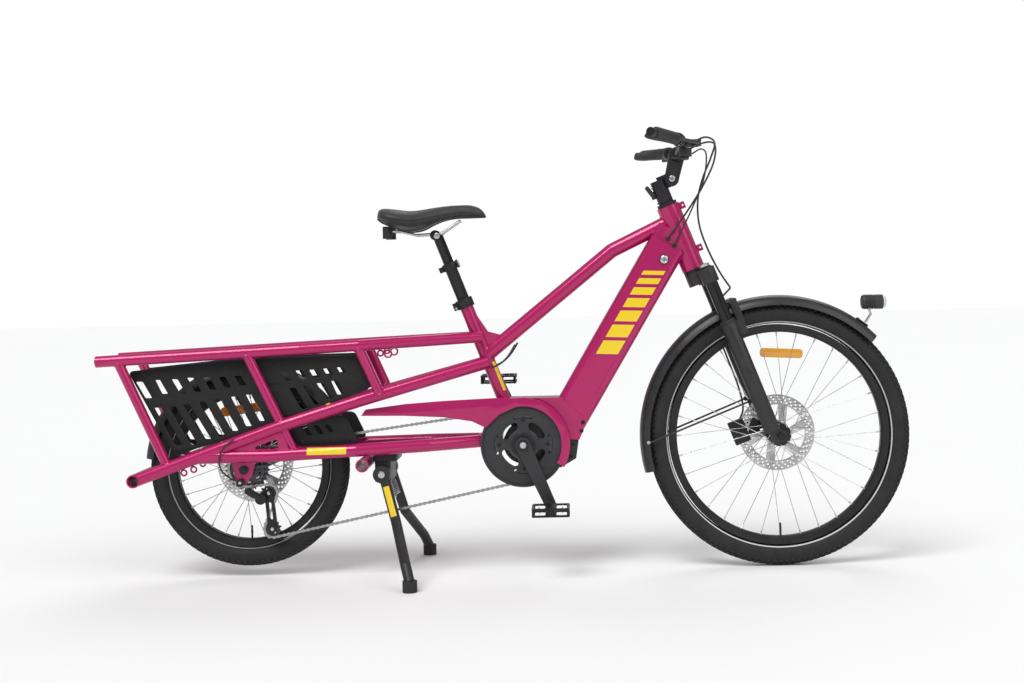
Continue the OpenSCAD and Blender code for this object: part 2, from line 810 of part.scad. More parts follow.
module front_spokes() {
    color(silver) spoke_set([front_x, 0, front_r], front_bead_r, 27, [-27, 27], 90, 206);
}

module front_hub() {
    color(black) difference() {
        union() {
            pin([front_x, 0, front_r], 15, -36, 36);
            pin([front_x, 0, front_r], 10, -49.5, 49.5);
            for (y = [-26, 26]) pin([front_x, 0, front_r], 29.6, y - 2, y + 2);
            pin([front_x, 0, front_r], 24, 28, 34);
        }
        pin([front_x, 0, front_r], 6 + fit, -60, 60);
    }
}

module rotor(at, y) {
    color(silver) difference() {
        pin(at, rotor_d / 2, y - 0.95, y + 0.95);
        for (a = [0:60:359]) translate([at.x + 53 * cos(a), 0, at.z + 53 * sin(a)])
            pin([0, 0, 0], 22, y - 5, y + 5);
        pin(at, 19, y - 5, y + 5);
    }
}

front_rotor_y = 35;
rear_rotor_y = 56;

module front_rotor() {
    rotor([front_x, 0, front_r], front_rotor_y);
}

module rear_rotor() {
    rotor([rear_x, 0, rear_z], rear_rotor_y);
}

module rear_tyre() {
    color(rubber) ring_at([rear_x, 0, rear_z]) tyre_section(rear_r, rear_tyre_w, rear_bead_r);
}

module rear_rim() {
    color(grey) ring_at([rear_x, 0, rear_z]) rim_section(rear_bead_r);
}

module rear_spokes() {
    color(silver) spoke_set([rear_x, 0, rear_z], rear_bead_r, 30, [-24, 36], 97, 150);
}

module rear_hub() {
    color(black) difference() {
        union() {
            pin([rear_x, 0, rear_z], 22, -28, 50);
            for (y = [-23, 35]) pin([rear_x, 0, rear_z], 33, y - 2, y + 2);
            pin([rear_x, 0, rear_z], 24, 50, 55);
            pin([rear_x, 0, rear_z], 16.9, -67, -28);
            pin([rear_x, 0, rear_z], 11, -axle_half + gap, axle_half - gap);
        }
        pin([rear_x, 0, rear_z], 6 + fit, -axle_half - 1, axle_half + 1);
    }
}

// ---------------------------------------------------------------- fork

module fork_crown() {
    color(black) steer_frame() {
        difference() {
            union() {
                translate([0, 0, crown_bottom]) cylinder(h = crown_top - crown_bottom, r = 28);
                translate([leg_offset - 17, -leg_spacing / 2, crown_bottom + 6])
                    cube([34, leg_spacing, crown_top - crown_bottom - 6]);
                for (s = [-1, 1]) translate([leg_offset, s * leg_spacing / 2, crown_bottom - 6])
                    cylinder(h = crown_top - crown_bottom + 6, d = stanchion_d + 12);
            }
            for (s = [-1, 1]) translate([leg_offset, s * leg_spacing / 2, crown_bottom - 7])
                cylinder(h = crown_top - crown_bottom + 3, d = stanchion_d);
        }
        translate([0, 0, crown_top]) cylinder(h = stem_z + 62 - crown_top, d = steerer_d);
    }
}

stanchion_low = 110;

module fork_stanchions() {
    color(grey) steer_frame() for (s = [-1, 1])
        translate([leg_offset, s * leg_spacing / 2, stanchion_low]) difference() {
            cylinder(h = crown_top - 4 - stanchion_low, d = stanchion_d);
            translate([0, 0, -1]) cylinder(h = crown_top - 40 - stanchion_low, d = stanchion_d - 5);
        }
}

module fork_lowers() {
    well = stanchion_low - fork_travel - 4;
    arch_z = sqrt(pow(front_r + 24, 2) - pow(leg_offset + 25 - fork_offset, 2));
    color(black) steer_frame() difference() {
        union() {
            for (s = [-1, 1]) {
                translate([leg_offset, s * leg_spacing / 2, 22]) cylinder(h = lowers_top - 22, d = lower_leg_d);
                translate([leg_offset - 10, s * leg_spacing / 2 - 7, -14]) cube([30, 14, 60]);
                translate([fork_offset, s * leg_spacing / 2 - 7, 0]) rotate([-90, 0, 0]) cylinder(h = 14, r = 15);
                translate([leg_offset + 10, s * (leg_spacing / 2 - 10) - 6, lowers_top - 40]) cube([30, 12, 40]);
                translate([leg_offset + 25, s * (leg_spacing / 2 - 10) - 6, lowers_top - 10])
                    cube([18, 12, arch_z + 8 - lowers_top + 10]);
            }
            translate([leg_offset + 25, -leg_spacing / 2 + 10, arch_z]) cube([18, leg_spacing - 20, 8]);
        }
        for (s = [-1, 1]) translate([leg_offset, s * leg_spacing / 2, well])
            cylinder(h = lowers_top, d = stanchion_d + 2 * fit);
        translate([fork_offset, -leg_spacing, 0]) rotate([-90, 0, 0]) cylinder(h = 2 * leg_spacing, r = 6);
    }
}

module front_axle() {
    color(black) {
        pin([front_x, 0, front_r], 6, -leg_spacing / 2 - 7, leg_spacing / 2 + 7);
        both_sides() pin([front_x, 0, front_r], 11, -leg_spacing / 2 - 15, -leg_spacing / 2 - 7);
    }
}

fender_half = 34;
fender_outer = front_r + 21;

module front_fender() {
    color(black) translate([front_x, 0, front_r]) rotate([90, 0, 0]) rotate([0, 0, 44])
        rotate_extrude(angle = 151) difference() {
            translate([fender_outer - 26, -fender_half]) square([26, 2 * fender_half]);
            translate([fender_outer - 30, -fender_half + 3]) square([27, 2 * fender_half - 6]);
        }
    color(silver) both_sides() {
        rod(steer_pt(-2, 112, -fender_half - 14), [front_x - 344, -fender_half - 2.5, front_r - 16], 2.5);
        pin(steer_pt(0, 112), 6, -leg_spacing / 2 + 14, -fender_half - 6);
    }
}

lamp_c = [front_x + 222, 0, front_r + 338];
lamp_r = 19;

module headlight() {
    foot = [front_x + fender_outer * cos(52), 0, front_r + fender_outer * sin(52)];
    color(black) {
        translate(lamp_c) rotate([0, 90, 0]) cylinder(h = 54, r = lamp_r);
        rod(foot + [12, 0, -4], lamp_c + [14, 0, -10], 6);
        translate(foot) rotate([0, -52, 0]) translate([gap / 10, -11, -18]) cube([4, 22, 36]);
    }
    color("white") translate(lamp_c + [54, 0, 0]) rotate([0, 90, 0]) cylinder(h = 12, r = lamp_r - 2);
}

module front_caliper() {
    rotor_gap = 4;
    color(black) difference() {
        steer_frame() difference() {
            union() {
                translate([-70, 27, 8]) cube([42, 21, 62]);
                translate([-32, 38, 18]) cube([36, 18, 42]);
            }
            translate([leg_offset, leg_spacing / 2, 0]) cylinder(h = 200, d = lower_leg_d);
        }
        pin([front_x, 0, front_r], rotor_d / 2 + 2, front_rotor_y - rotor_gap / 2, front_rotor_y + rotor_gap / 2);
    }
}

// ---------------------------------------------------------------- cockpit

module stem_base() {
    color(black) steer_frame() difference() {
        union() {
            translate([0, 0, stem_z]) cylinder(h = 62, r = 20);
            translate([0, -11, pivot_z - 18]) cube([pivot_x, 22, 36]);
            translate([pivot_x, -11, pivot_z]) rotate([-90, 0, 0]) cylinder(h = 22, r = 19);
            translate([-30, -5, stem_z + 20]) cube([14, 10, 20]);
        }
        translate([0, 0, stem_z - 1]) cylinder(h = 64, d = steerer_d);
        translate([pivot_x, -12, pivot_z]) rotate([-90, 0, 0]) cylinder(h = 24, r = 5 + fit);
        translate([-25, -6, stem_z + 30]) rotate([-90, 0, 0]) cylinder(h = 12, r = 3 + fit);
    }
}

module stem_lever() {
    color(black) steer_frame() {
        translate([-25, -9, stem_z + 30]) rotate([-90, 0, 0]) cylinder(h = 18, r = 3);
        for (y = [-9, 5.3]) hull() {
            translate([-25, y, stem_z + 30]) rotate([-90, 0, 0]) cylinder(h = 3.7, r = 5.4);
            translate([-32, y, stem_z + 54]) rotate([-90, 0, 0]) cylinder(h = 3.7, r = 5);
        }
        translate([-32, -9, stem_z + 54]) rotate([-90, 0, 0]) cylinder(h = 18, r = 5);
    }
}

// The tubes of the handlebar outside its thick middle
module bar_shape() {
    for (s = [-1, 1]) {
        rod(bar_c + [0, s * 52, 0], bar_c + [6, s * 150, 18], bar_d / 2);
        rod(bar_c + [6, s * 150, 18], bar_c + [-10, s * 205, 24], bar_d / 2);
        rod(bar_c + [-10, s * 205, 24], bar_c + [-86, s * bar_w / 2, 30], bar_d / 2);
        for (bend = [[6, s * 150, 18], [-10, s * 205, 24]])
            translate(bar_c + bend) rotate([90, 0, 0]) sphere(bar_d / 2 + 0.3);
    }
}

module stem_arm() {
    color(black) difference() {
        steer_frame() {
            for (y = [-22, 11 + gap]) hull() {
                translate([pivot_x, y, pivot_z]) rotate([-90, 0, 0]) cylinder(h = 11 - gap, r = 18);
                translate([bar_x, y, bar_z]) rotate([-90, 0, 0]) cylinder(h = 11 - gap, r = 20);
            }
            translate([pivot_x, -22, pivot_z]) rotate([-90, 0, 0]) cylinder(h = 44, r = 5);
            translate([bar_x, -24, bar_z]) rotate([-90, 0, 0]) cylinder(h = 48, r = 22);
        }
        pin(bar_c, bar_clamp_d / 2, -30, 30);
    }
}

module handlebar() {
    color(black) {
        bar_shape();
        pin(bar_c, bar_clamp_d / 2, -55, 55);
    }
}

grip_start = [-10, -205, 24] + 12 * unit([-76, -bar_w / 2 + 205, 6]);
grip_dir = unit([-76, -bar_w / 2 + 205, 6]);

module grips() {
    color(rubber) both_sides() difference() {
        union() {
            rod(bar_c + grip_start, bar_c + grip_start + grip_l * grip_dir, 16);
            rod(bar_c + grip_start + 60 * grip_dir + [-12, 0, -4],
                bar_c + grip_start + (grip_l - 6) * grip_dir + [-17, 0, -4], 9);
        }
        bar_shape();
    }
}

module brake_bodies() {
    color(black) {
        both_sides() difference() {
            union() {
                rod(bar_c + [-6, -186, 22.6], bar_c + [-10, -202, 24], 17);
                rod(bar_c + [12, -160, 18], bar_c + [36, -200, 14], 10);
                translate(bar_c + [38, -206, 6]) cylinder(h = 16, r = 9);
            }
            bar_shape();
            translate(bar_c + [38, -206, 9]) cylinder(h = 10, r = 20);
        }
        difference() {
            translate(bar_c + [12, -140, -14]) cylinder(h = 22, r = 16);
            bar_shape();
        }
    }
}

module brake_lever_blade() {
    pivot = bar_c + [38, -206, 9 + gap];
    path_rods([pivot + [0, 0, 4.7], bar_c + [34, -240, 12], bar_c + [-16, -bar_w / 2 + 26, 14]], 4.4);
    translate(pivot) cylinder(h = 10 - 2 * gap, r = 8);
}

module brake_lever_right() {
    color(black) brake_lever_blade();
}

module brake_lever_left() {
    color(black) mirror([0, 1, 0]) brake_lever_blade();
}

module shift_lever() {
    color(black) {
        translate(bar_c + [12, -140, -20]) cylinder(h = 6 - gap, r = 9);
        rod(bar_c + [12, -140, -17], bar_c + [-24, -158, -18], 2.6);
    }
}

// Cable routes
front_hose = [
    [477, -156, 1086], [515, -118, 1104], [545, -50, 1096], [538, -8, 1060], [518, 8, 1010],
    [505, 20, 955], [508, 32, 890], [530, 42, 825], [560, 46, 765], [588, 46, 722]
];
rear_hose = [
    [477, 156, 1086], [520, 115, 1108], [552, 40, 1102], [545, -20, 1050], [510, -42, 980],
    [460, -46, 905], [424, -41, 862]
];
shift_cable = [
    [481, -130, 1062], [506, -100, 1076], [522, -62, 1062], [514, -56, 1000], [484, -60, 930],
    [456, -52, 872], [438, -41, 838]
];
frame_loop_right = [[20, -10, 586], [4, -19, 560], [-16, -25, 540], [-41, -25, 528]];
frame_loop_left = [[26, 10, 590], [8, 19, 562], [-14, 25, 541], [-41, 25, 528]];
derailleur_loop = [
    [-690, -117, 366], [-714, -117, 348], [-727, -117, 322], [-727, -117, 300], [-722, -113, 285],
    [-708, -106, 270], [-694, -99, 259]
];

module control_cables() {
    color(black) {
        swept_tube(front_hose, 2.5);
        swept_tube(rear_hose, 2.5);
        swept_tube(shift_cable, 2);
    }
}

module frame_cables() {
    color(black) {
        swept_tube(frame_loop_right, 2.5);
        swept_tube(frame_loop_left, 2.5);
        swept_tube(derailleur_loop, 2);
    }
}

// ---------------------------------------------------------------- seat

seat_top = seat_pt(post_top);
saddle_tail = seat_top.x - 153;
saddle_nose = saddle_tail + saddle_l;
rail_half = 22;
saddle_rail = [
    [saddle_tail + 34, -30, saddle_z - 66], [saddle_tail + 60, -rail_half, saddle_z - 68],
    [saddle_tail + 100, -rail_half, saddle_z - 78], [saddle_tail + 164, -rail_half, saddle_z - 75],
    [saddle_tail + 214, -12, saddle_z - 42]
];

module seatpost_sleeve() {
    color(black) seat_frame() difference() {
        union() {
            translate([0, 0, 260]) cylinder(h = post_step - 260, d = seatpost_d);
            translate([0, 0, post_step - 16]) cylinder(h = 18, r = seatpost_d / 2 + 4);
            translate([-seatpost_d / 2 - 14, -7, post_step - 15]) cube([16, 14, 14]);
            translate([seatpost_d / 2 + 2, 0, post_step - 7]) rotate([0, 90, 0]) cylinder(h = 6, r = 11);
        }
        cylinder(h = 2 * post_top, d = post_shaft_d + 2 * fit);
    }
}

module seatpost() {
    color(black) difference() {
        union() {
            seat_frame() translate([0, 0, 330]) cylinder(h = post_top - 332, d = post_shaft_d);
            pin(seat_top + [-4, 0, 0], 13, -30, 30);
        }
        both_sides() path_rods(saddle_rail, 3.5);
    }
}

module saddle_rails() {
    color(grey) both_sides() path_rods(saddle_rail, 3.5);
    color(rubber) both_sides() translate([saddle_tail + 28, -36, saddle_z - 86]) cylinder(h = 31, r = 13);
}

module saddle() {
    color(black) {
        hull() {
            for (s = [-1, 1]) translate([saddle_tail + 30, s * (saddle_w / 2 - 30), saddle_z - 30]) sphere(30, $fn = 32);
            for (s = [-1, 1]) translate([saddle_tail + 120, s * 26, saddle_z - 34]) sphere(24, $fn = 32);
        }
        hull() {
            for (s = [-1, 1]) translate([saddle_tail + 120, s * 26, saddle_z - 34]) sphere(24, $fn = 32);
            translate([saddle_nose - 68, 0, saddle_z - 25]) sphere(25, $fn = 32);
            translate([saddle_nose - 20, 0, saddle_z - 38]) sphere(20, $fn = 32);
        }
    }
}

main_frame();
rear_frame_right();
rear_frame_left();
rack_cross_tubes();
battery();
battery_cover();
motor_unit();
chain_guard();
wheel_skirts();
rear_fender();
seat_clamp();
kickstand_bracket();
rear_caliper();
headset_cups();
rear_axle();
chain();
frame_cables();
derailleur_body();
kickstand_legs();
kickstand_feet();
fork_crown();
fork_stanchions();
stem_base();
control_cables();
stem_lever();
fork_lowers();
front_axle();
front_fender();
headlight();
derailleur_mount();
front_caliper();
stem_arm();
handlebar();
grips();
brake_bodies();
seatpost_sleeve();
brake_lever_right();
brake_lever_left();
shift_lever();
front_hub();
front_rim();
front_spokes();
front_tyre();
front_rotor();
rear_hub();
rear_rim();
rear_spokes();
rear_tyre();
rear_rotor();
cassette();
crank_arms();
chainring();
pedal_right();
pedal_left();
derailleur_cage();
jockey_upper();
jockey_lower();
seatpost();
saddle_rails();
saddle();
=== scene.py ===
"""Looks of the long-tail cargo bicycle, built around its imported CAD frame."""

import json
import math

import bmesh
import bpy
import numpy as np
from bpy.props import FloatProperty, FloatVectorProperty, IntProperty
from mathutils import Matrix, Vector


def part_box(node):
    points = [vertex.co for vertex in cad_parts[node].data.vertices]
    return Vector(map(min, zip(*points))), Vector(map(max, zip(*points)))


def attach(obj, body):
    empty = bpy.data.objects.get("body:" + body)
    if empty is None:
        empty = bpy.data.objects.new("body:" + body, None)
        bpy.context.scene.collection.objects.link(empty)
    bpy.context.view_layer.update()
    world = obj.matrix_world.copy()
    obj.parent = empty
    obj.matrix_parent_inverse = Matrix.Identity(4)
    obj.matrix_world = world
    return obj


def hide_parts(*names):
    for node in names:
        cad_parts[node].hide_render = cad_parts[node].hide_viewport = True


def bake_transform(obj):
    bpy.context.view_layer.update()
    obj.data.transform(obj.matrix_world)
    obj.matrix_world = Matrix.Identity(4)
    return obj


bl_info = {
    "name": "Cargo bicycle",
    "version": (1, 0, 0),
    "blender": (4, 5, 0),
    "location": "3D View > Sidebar > Cargo bicycle",
    "description": "Builds the visible pieces of a long-tail cargo bicycle around its CAD frame",
    "category": "Object",
}

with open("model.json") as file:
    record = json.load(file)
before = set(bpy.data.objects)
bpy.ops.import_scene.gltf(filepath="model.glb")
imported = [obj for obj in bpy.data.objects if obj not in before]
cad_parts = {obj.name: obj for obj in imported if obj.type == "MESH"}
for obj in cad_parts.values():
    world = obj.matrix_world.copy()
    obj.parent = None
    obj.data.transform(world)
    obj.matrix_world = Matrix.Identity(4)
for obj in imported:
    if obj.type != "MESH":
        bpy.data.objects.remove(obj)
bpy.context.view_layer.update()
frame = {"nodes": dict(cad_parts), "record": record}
MM = 0.001
BODY_OF = {n: b for b, members in frame["record"]["behaviour"]["bodies"].items() for n in members}


# ------------------------------------------------------------------ places


def box_centre(node):
    low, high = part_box(node)
    return (low + high) / 2


def box_size(node):
    low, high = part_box(node)
    return high - low


FRONT = box_centre("front_tyre")
REAR = box_centre("rear_tyre")
BB = box_centre("crank_arms")
FRONT_R = box_size("front_tyre").z / 2
REAR_R = box_size("rear_tyre").z / 2
LEAN = math.radians(21.2)
SEAT_LEAN = math.radians(20.9)
CHAIN_Y = -49 * MM
RACK_Y = 97 * MM


def at_rear(x, y, z):
    """A point given in millimetres from the rear axle, sideways from the centre plane."""
    return Vector((REAR.x + x * MM, y * MM, REAR.z + z * MM))


def on_steerer(x, y, z):
    """A point in the frame of the steering axis: x ahead of it and z up it from the axle, in mm."""
    along = x - 41
    return Vector((
        FRONT.x + (along * math.cos(LEAN) - z * math.sin(LEAN)) * MM,
        y * MM,
        FRONT.z + (along * math.sin(LEAN) + z * math.cos(LEAN)) * MM,
    ))


def on_seat_tube(x, y, z):
    """A point in the frame of the seat tube: x ahead of it and z up it from the cranks, in mm."""
    return Vector((
        BB.x + (-7 + x * math.cos(SEAT_LEAN) - z * math.sin(SEAT_LEAN)) * MM,
        y * MM,
        BB.z + (x * math.sin(SEAT_LEAN) + z * math.cos(SEAT_LEAN)) * MM,
    ))


DOWN_FOOT = BB + Vector((131 * MM, 0, 85 * MM))
DOWN_HEAD = on_steerer(-38, 0, 565)
DOWN_DIR = (DOWN_HEAD - DOWN_FOOT).normalized()
DOWN_OUT = Vector((DOWN_DIR.z, 0, -DOWN_DIR.x))
DOWN_L = (DOWN_HEAD - DOWN_FOOT).length


def on_down_tube(out, y, along):
    """A point in the frame of the down tube, in mm: out ahead of its middle line and along it from its foot."""
    return DOWN_FOOT + DOWN_OUT * (out * MM) + DOWN_DIR * (along * MM) + Vector((0, y * MM, 0))


BAR_CENTRE = on_steerer(36 + 62 * math.cos(math.radians(55)), 0, 718 + 62 * math.sin(math.radians(55)))


def on_bar(x, y, z):
    """A point given in millimetres from the middle of the handlebar clamp."""
    return BAR_CENTRE + Vector((x, y, z)) * MM


# ------------------------------------------------------------------ finishes


class Value:
    """A socket of a material's node tree, so that sums over it are written as plain expressions."""

    def __init__(self, finish, socket):
        self.finish = finish
        self.socket = socket

    def sum(self, operation, *others):
        inputs = {i: v for i, v in enumerate((self, *others))}
        return self.finish.node("ShaderNodeMath", {"operation": operation}, inputs)

    def turned(self, operation, other):
        return self.finish.node("ShaderNodeMath", {"operation": operation}, {0: other, 1: self})

    def __add__(self, other):
        return self.sum("ADD", other)

    def __radd__(self, other):
        return self.turned("ADD", other)

    def __sub__(self, other):
        return self.sum("SUBTRACT", other)

    def __rsub__(self, other):
        return self.turned("SUBTRACT", other)

    def __mul__(self, other):
        return self.sum("MULTIPLY", other)

    def __rmul__(self, other):
        return self.turned("MULTIPLY", other)

    def __gt__(self, other):
        return self.sum("GREATER_THAN", other)

    def __lt__(self, other):
        return self.sum("LESS_THAN", other)

    def __abs__(self):
        return self.sum("ABSOLUTE")

    def between(self, low, high):
        return (self > low) * (self < high)

    def bent(self, operation):
        return self.sum(operation)


class Finish:
    """One procedural material: its constants on the shader, and what varies from nodes."""

    def __init__(self, name, **constants):
        self.material = bpy.data.materials.new(name)
        self.material.use_nodes = True
        self.tree = self.material.node_tree
        self.shader = self.tree.nodes["Principled BSDF"]
        for key, value in constants.items():
            self.shader.inputs[key.replace("_", " ")].default_value = value
        self.point = self.node("ShaderNodeTexCoord", {}, {}, "Object")

    def node(self, kind, settings=(), inputs=(), out=0):
        """Adds a node: its settings first, then the values or links of its sockets."""
        made = self.tree.nodes.new(kind)
        for key, value in dict(settings).items():
            if key == "stops":
                stops = made.color_ramp.elements
                while len(stops) < len(value):
                    stops.new(1.0)
                for stop, (position, colour) in zip(stops, value):
                    stop.position, stop.color = position, colour
            else:
                setattr(made, key, value)
        for key, value in dict(inputs).items():
            self.feed(made.inputs[key], value)
        return Value(self, made.outputs[out])

    def feed(self, socket, value):
        if isinstance(value, Value):
            self.tree.links.new(value.socket, socket)
        else:
            socket.default_value = value

    def set(self, **inputs):
        for key, value in inputs.items():
            self.feed(self.shader.inputs[key.replace("_", " ")], value)
        return self

    def noise(self, scale, detail=3.0, rough=0.55, stretch=None):
        """Fractal noise in the object's own coordinates, about 0.5."""
        point = self.point if stretch is None else self.mapped(stretch)
        return self.node(
            "ShaderNodeTexNoise", {}, {"Vector": point, "Scale": scale, "Detail": detail, "Roughness": rough})

    def cells(self, scale, feature="F1"):
        return self.node(
            "ShaderNodeTexVoronoi", {"feature": feature}, {"Vector": self.point, "Scale": scale})

    def mapped(self, stretch):
        return self.node("ShaderNodeMapping", {}, {"Vector": self.point, "Scale": stretch})

    def along(self, direction, start=(0, 0, 0)):
        """How far the surface point is along a direction from a start, in metres."""
        offset = self.node(
            "ShaderNodeVectorMath", {"operation": "SUBTRACT"}, {0: self.point, 1: tuple(start)})
        return self.node(
            "ShaderNodeVectorMath", {"operation": "DOT_PRODUCT"}, {0: offset, 1: tuple(direction)}, "Value")

    def reach(self, centre, flatten=(1, 0, 1)):
        """Distance from an axle through centre, in metres."""
        offset = self.node(
            "ShaderNodeVectorMath", {"operation": "SUBTRACT"}, {0: self.point, 1: tuple(centre)})
        flat = self.node("ShaderNodeVectorMath", {"operation": "MULTIPLY"}, {0: offset, 1: flatten})
        return self.node("ShaderNodeVectorMath", {"operation": "LENGTH"}, {0: flat}, "Value")

    def mix(self, factor, a, b):
        return self.node(
            "ShaderNodeMix", {"data_type": "RGBA"}, {"Factor": factor, 6: a, 7: b}, 2)

    def ramp(self, factor, *stops):
        return self.node("ShaderNodeValToRGB", {"stops": stops}, {"Fac": factor})

    def ranged(self, value, low, high):
        """A 0..1 value carried to low..high."""
        return self.node(
            "ShaderNodeMapRange", {}, {"Value": value, "From Min": 0.3, "From Max": 0.7,
                                       "To Min": low, "To Max": high})

    def bump(self, height, strength, distance, under=None):
        inputs = {"Height": height, "Strength": strength, "Distance": distance}
        if under is not None:
            inputs["Normal"] = under
        return self.node("ShaderNodeBump", {}, inputs)


def rgba(colour, gain=1.0):
    return (colour[0] * gain, colour[1] * gain, colour[2] * gain, 1.0)


def painted(name, colour, marks=None):
    """Clear-coated frame paint: fine metal flake, orange peel, and plain yellow marks where marks(finish) is 1."""
    f = Finish(name, Metallic=0.3, Coat_Weight=0.8, Coat_Roughness=0.08, Coat_IOR=1.45, Specular_IOR_Level=0.3)
    flake = f.noise(1400, 2.0)
    cloud = f.noise(9, 3.0)
    body = f.mix(f.ranged(flake, 0, 1), rgba(colour, 0.86), rgba(colour, 1.18))
    body = f.mix(f.ranged(cloud, 0.0, 0.35), body, rgba(colour, 0.8))
    rough = f.ranged(cloud, 0.3, 0.4)
    if marks is not None:
        where = marks(f)
        body = f.mix(where, body, (0.86, 0.62, 0.012, 1))
        f.set(Metallic=(1 - where) * 0.25)
    peel = f.bump(f.noise(420, 2.0), 0.06, 0.0004)
    return f.set(Base_Color=body, Roughness=rough, Normal=peel).material


def frame_marks(f):
    """Slanted bars on both sides of the down tube, and a strip on the head tube and the seat tube."""
    across = f.along((0, 1, 0))
    out = f.along(DOWN_OUT, DOWN_FOOT)
    lean = f.along(DOWN_DIR, DOWN_FOOT) - out * 0.55
    bars = lean.between(0.165, 0.205) + lean.between(0.215, 0.252) + lean.between(0.262, 0.294) \
        + lean.between(0.304, 0.331) + lean.between(0.341, 0.363) + lean.between(0.373, 0.390) \
        + lean.between(0.400, 0.412)
    bars = bars * out.between(-0.022, 0.028) * (abs(across) > 0.0345)
    head = f.along((math.cos(LEAN), 0, math.sin(LEAN)), on_steerer(0, 0, 0)) > 0.0285
    up = f.along((-math.sin(LEAN), 0, math.cos(LEAN)), on_steerer(0, 0, 0))
    badge = head * up.between(0.542, 0.590) * (abs(across) < 0.009)
    ahead = f.along((math.cos(SEAT_LEAN), 0, math.sin(SEAT_LEAN)), on_seat_tube(0, 0, 0)) > 0.0085
    rise = f.along((-math.sin(SEAT_LEAN), 0, math.cos(SEAT_LEAN)), on_seat_tube(0, 0, 0))
    strip = ahead * rise.between(0.142, 0.222) * (abs(across) > 0.008) * (abs(across) < 0.0185)
    return bars + badge + strip * (abs(out) > 0.05)


def rear_marks(f):
    """A plain reflective strip on the outside of each lower rail."""
    x = f.along((1, 0, 0), REAR)
    z = f.along((0, 0, 1), REAR)
    outside = abs(f.along((0, 1, 0))) > (RACK_Y + 0.0050)
    return x.between(0.166, 0.266) * z.between(0.038, 0.056) * outside


def satin_metal(name, colour, rough=0.38, metallic=0.6, grain=500):
    """Anodised or plated metal: fine grain, small scuffs and slightly uneven gloss."""
    f = Finish(name, Metallic=metallic)
    cloud, fine = f.noise(38, 4.0), f.noise(grain, 3.0)
    body = f.mix(f.ranged(cloud, 0, 1), rgba(colour, 0.85), rgba(colour, 1.2))
    rub = f.ramp(f.noise(140, 6.0, 0.7), (0.66, (0, 0, 0, 1)), (0.74, (1, 1, 1, 1)))
    body = f.mix(rub, body, rgba(colour, 1.7))
    return f.set(
        Base_Color=body,
        Roughness=f.ranged(cloud, rough - 0.06, rough + 0.1),
        Normal=f.bump(fine, 0.12, 0.0002),
    ).material


def brushed_metal(name, colour, rough, axle):
    """Turned or ground steel, with rings about an axle."""
    f = Finish(name, Metallic=1.0)
    far = f.reach(axle)
    rings = (far * 9000).bent("SINE")
    cloud = f.noise(60, 4.0)
    body = f.mix(f.ranged(cloud, 0, 1), rgba(colour, 0.82), rgba(colour, 1.1))
    return f.set(
        Base_Color=body,
        Roughness=f.ranged(cloud, rough - 0.06, rough + 0.1),
        Normal=f.bump(rings, 0.08, 0.0001),
    ).material


def moulded(name, colour, rough=0.5, grain=900, strength=0.3):
    """Injection-moulded plastic or rubber with a spark-eroded texture."""
    f = Finish(name, Specular_IOR_Level=0.45)
    cloud, fine = f.noise(24, 4.0), f.cells(grain)
    body = f.mix(f.ranged(cloud, 0, 1), rgba(colour, 0.82), rgba(colour, 1.2))
    dust = f.ramp(f.noise(75, 6.0, 0.7), (0.6, (0, 0, 0, 1)), (0.8, (0.25, 0.25, 0.25, 1)))
    body = f.mix(dust, body, rgba((colour[0] + 0.03, colour[1] + 0.03, colour[2] + 0.028)))
    return f.set(
        Base_Color=body,
        Roughness=f.ranged(cloud, rough - 0.06, rough + 0.1),
        Normal=f.bump(fine, strength, 0.0002),
    ).material


def tyre_rubber(name, centre, stripe_r):
    """Black tyre rubber with moulding rings on the wall and a thin reflective stripe."""
    f = Finish(name, Specular_IOR_Level=0.35)
    far = f.reach(centre)
    cloud = f.noise(30, 5.0)
    body = f.mix(f.ranged(cloud, 0, 1), (0.011, 0.011, 0.012, 1), (0.024, 0.024, 0.025, 1))
    stripe = far.between(stripe_r - 0.0014, stripe_r + 0.0014)
    wall = abs(f.along((0, 1, 0))) > 0.012
    stripe = stripe * wall
    body = f.mix(stripe, body, (0.62, 0.63, 0.65, 1))
    rings = (far * 2400).bent("SINE") * 0.4 + f.noise(600, 2.0)
    return f.set(
        Base_Color=body,
        Roughness=f.ranged(cloud, 0.58, 0.75) - stripe * 0.3,
        Normal=f.bump(rings, 0.25, 0.0003),
    ).material


def prism(name, colour):
    """Moulded reflector: a grid of small prisms under a clear face, each prism painted lighter in its middle as a
    painted highlight and darker towards its edges as painted shade.
    """
    f = Finish(name, Roughness=0.12, Coat_Weight=1.0, Coat_Roughness=0.03, Transmission_Weight=0.0)
    cells = f.node("ShaderNodeTexVoronoi", {"feature": "F1", "distance": "CHEBYCHEV"},
                   {"Vector": f.point, "Scale": 330.0, "Randomness": 0.0})
    # painted highlight and painted shade: each prism cell's colour runs from light in its middle to dark at its edges
    deep = f.ramp(cells, (0.1, rgba(colour, 1.25)), (0.75, rgba(colour, 0.55)))
    return f.set(Base_Color=deep, Normal=f.bump(cells, 0.8, 0.001)).material


def clear_lens(name):
    """Bright lamp lens with moulded flutes."""
    f = Finish(name, Roughness=0.06, Coat_Weight=1.0, Coat_Roughness=0.02)
    flutes = (f.along((0, 1, 0)) * 1800).bent("SINE")
    tone = f.ramp(f.noise(90, 2.0), (0.3, (0.55, 0.58, 0.6, 1)), (0.7, (0.86, 0.88, 0.9, 1)))
    return f.set(Base_Color=tone, Normal=f.bump(flutes, 0.5, 0.0006)).material


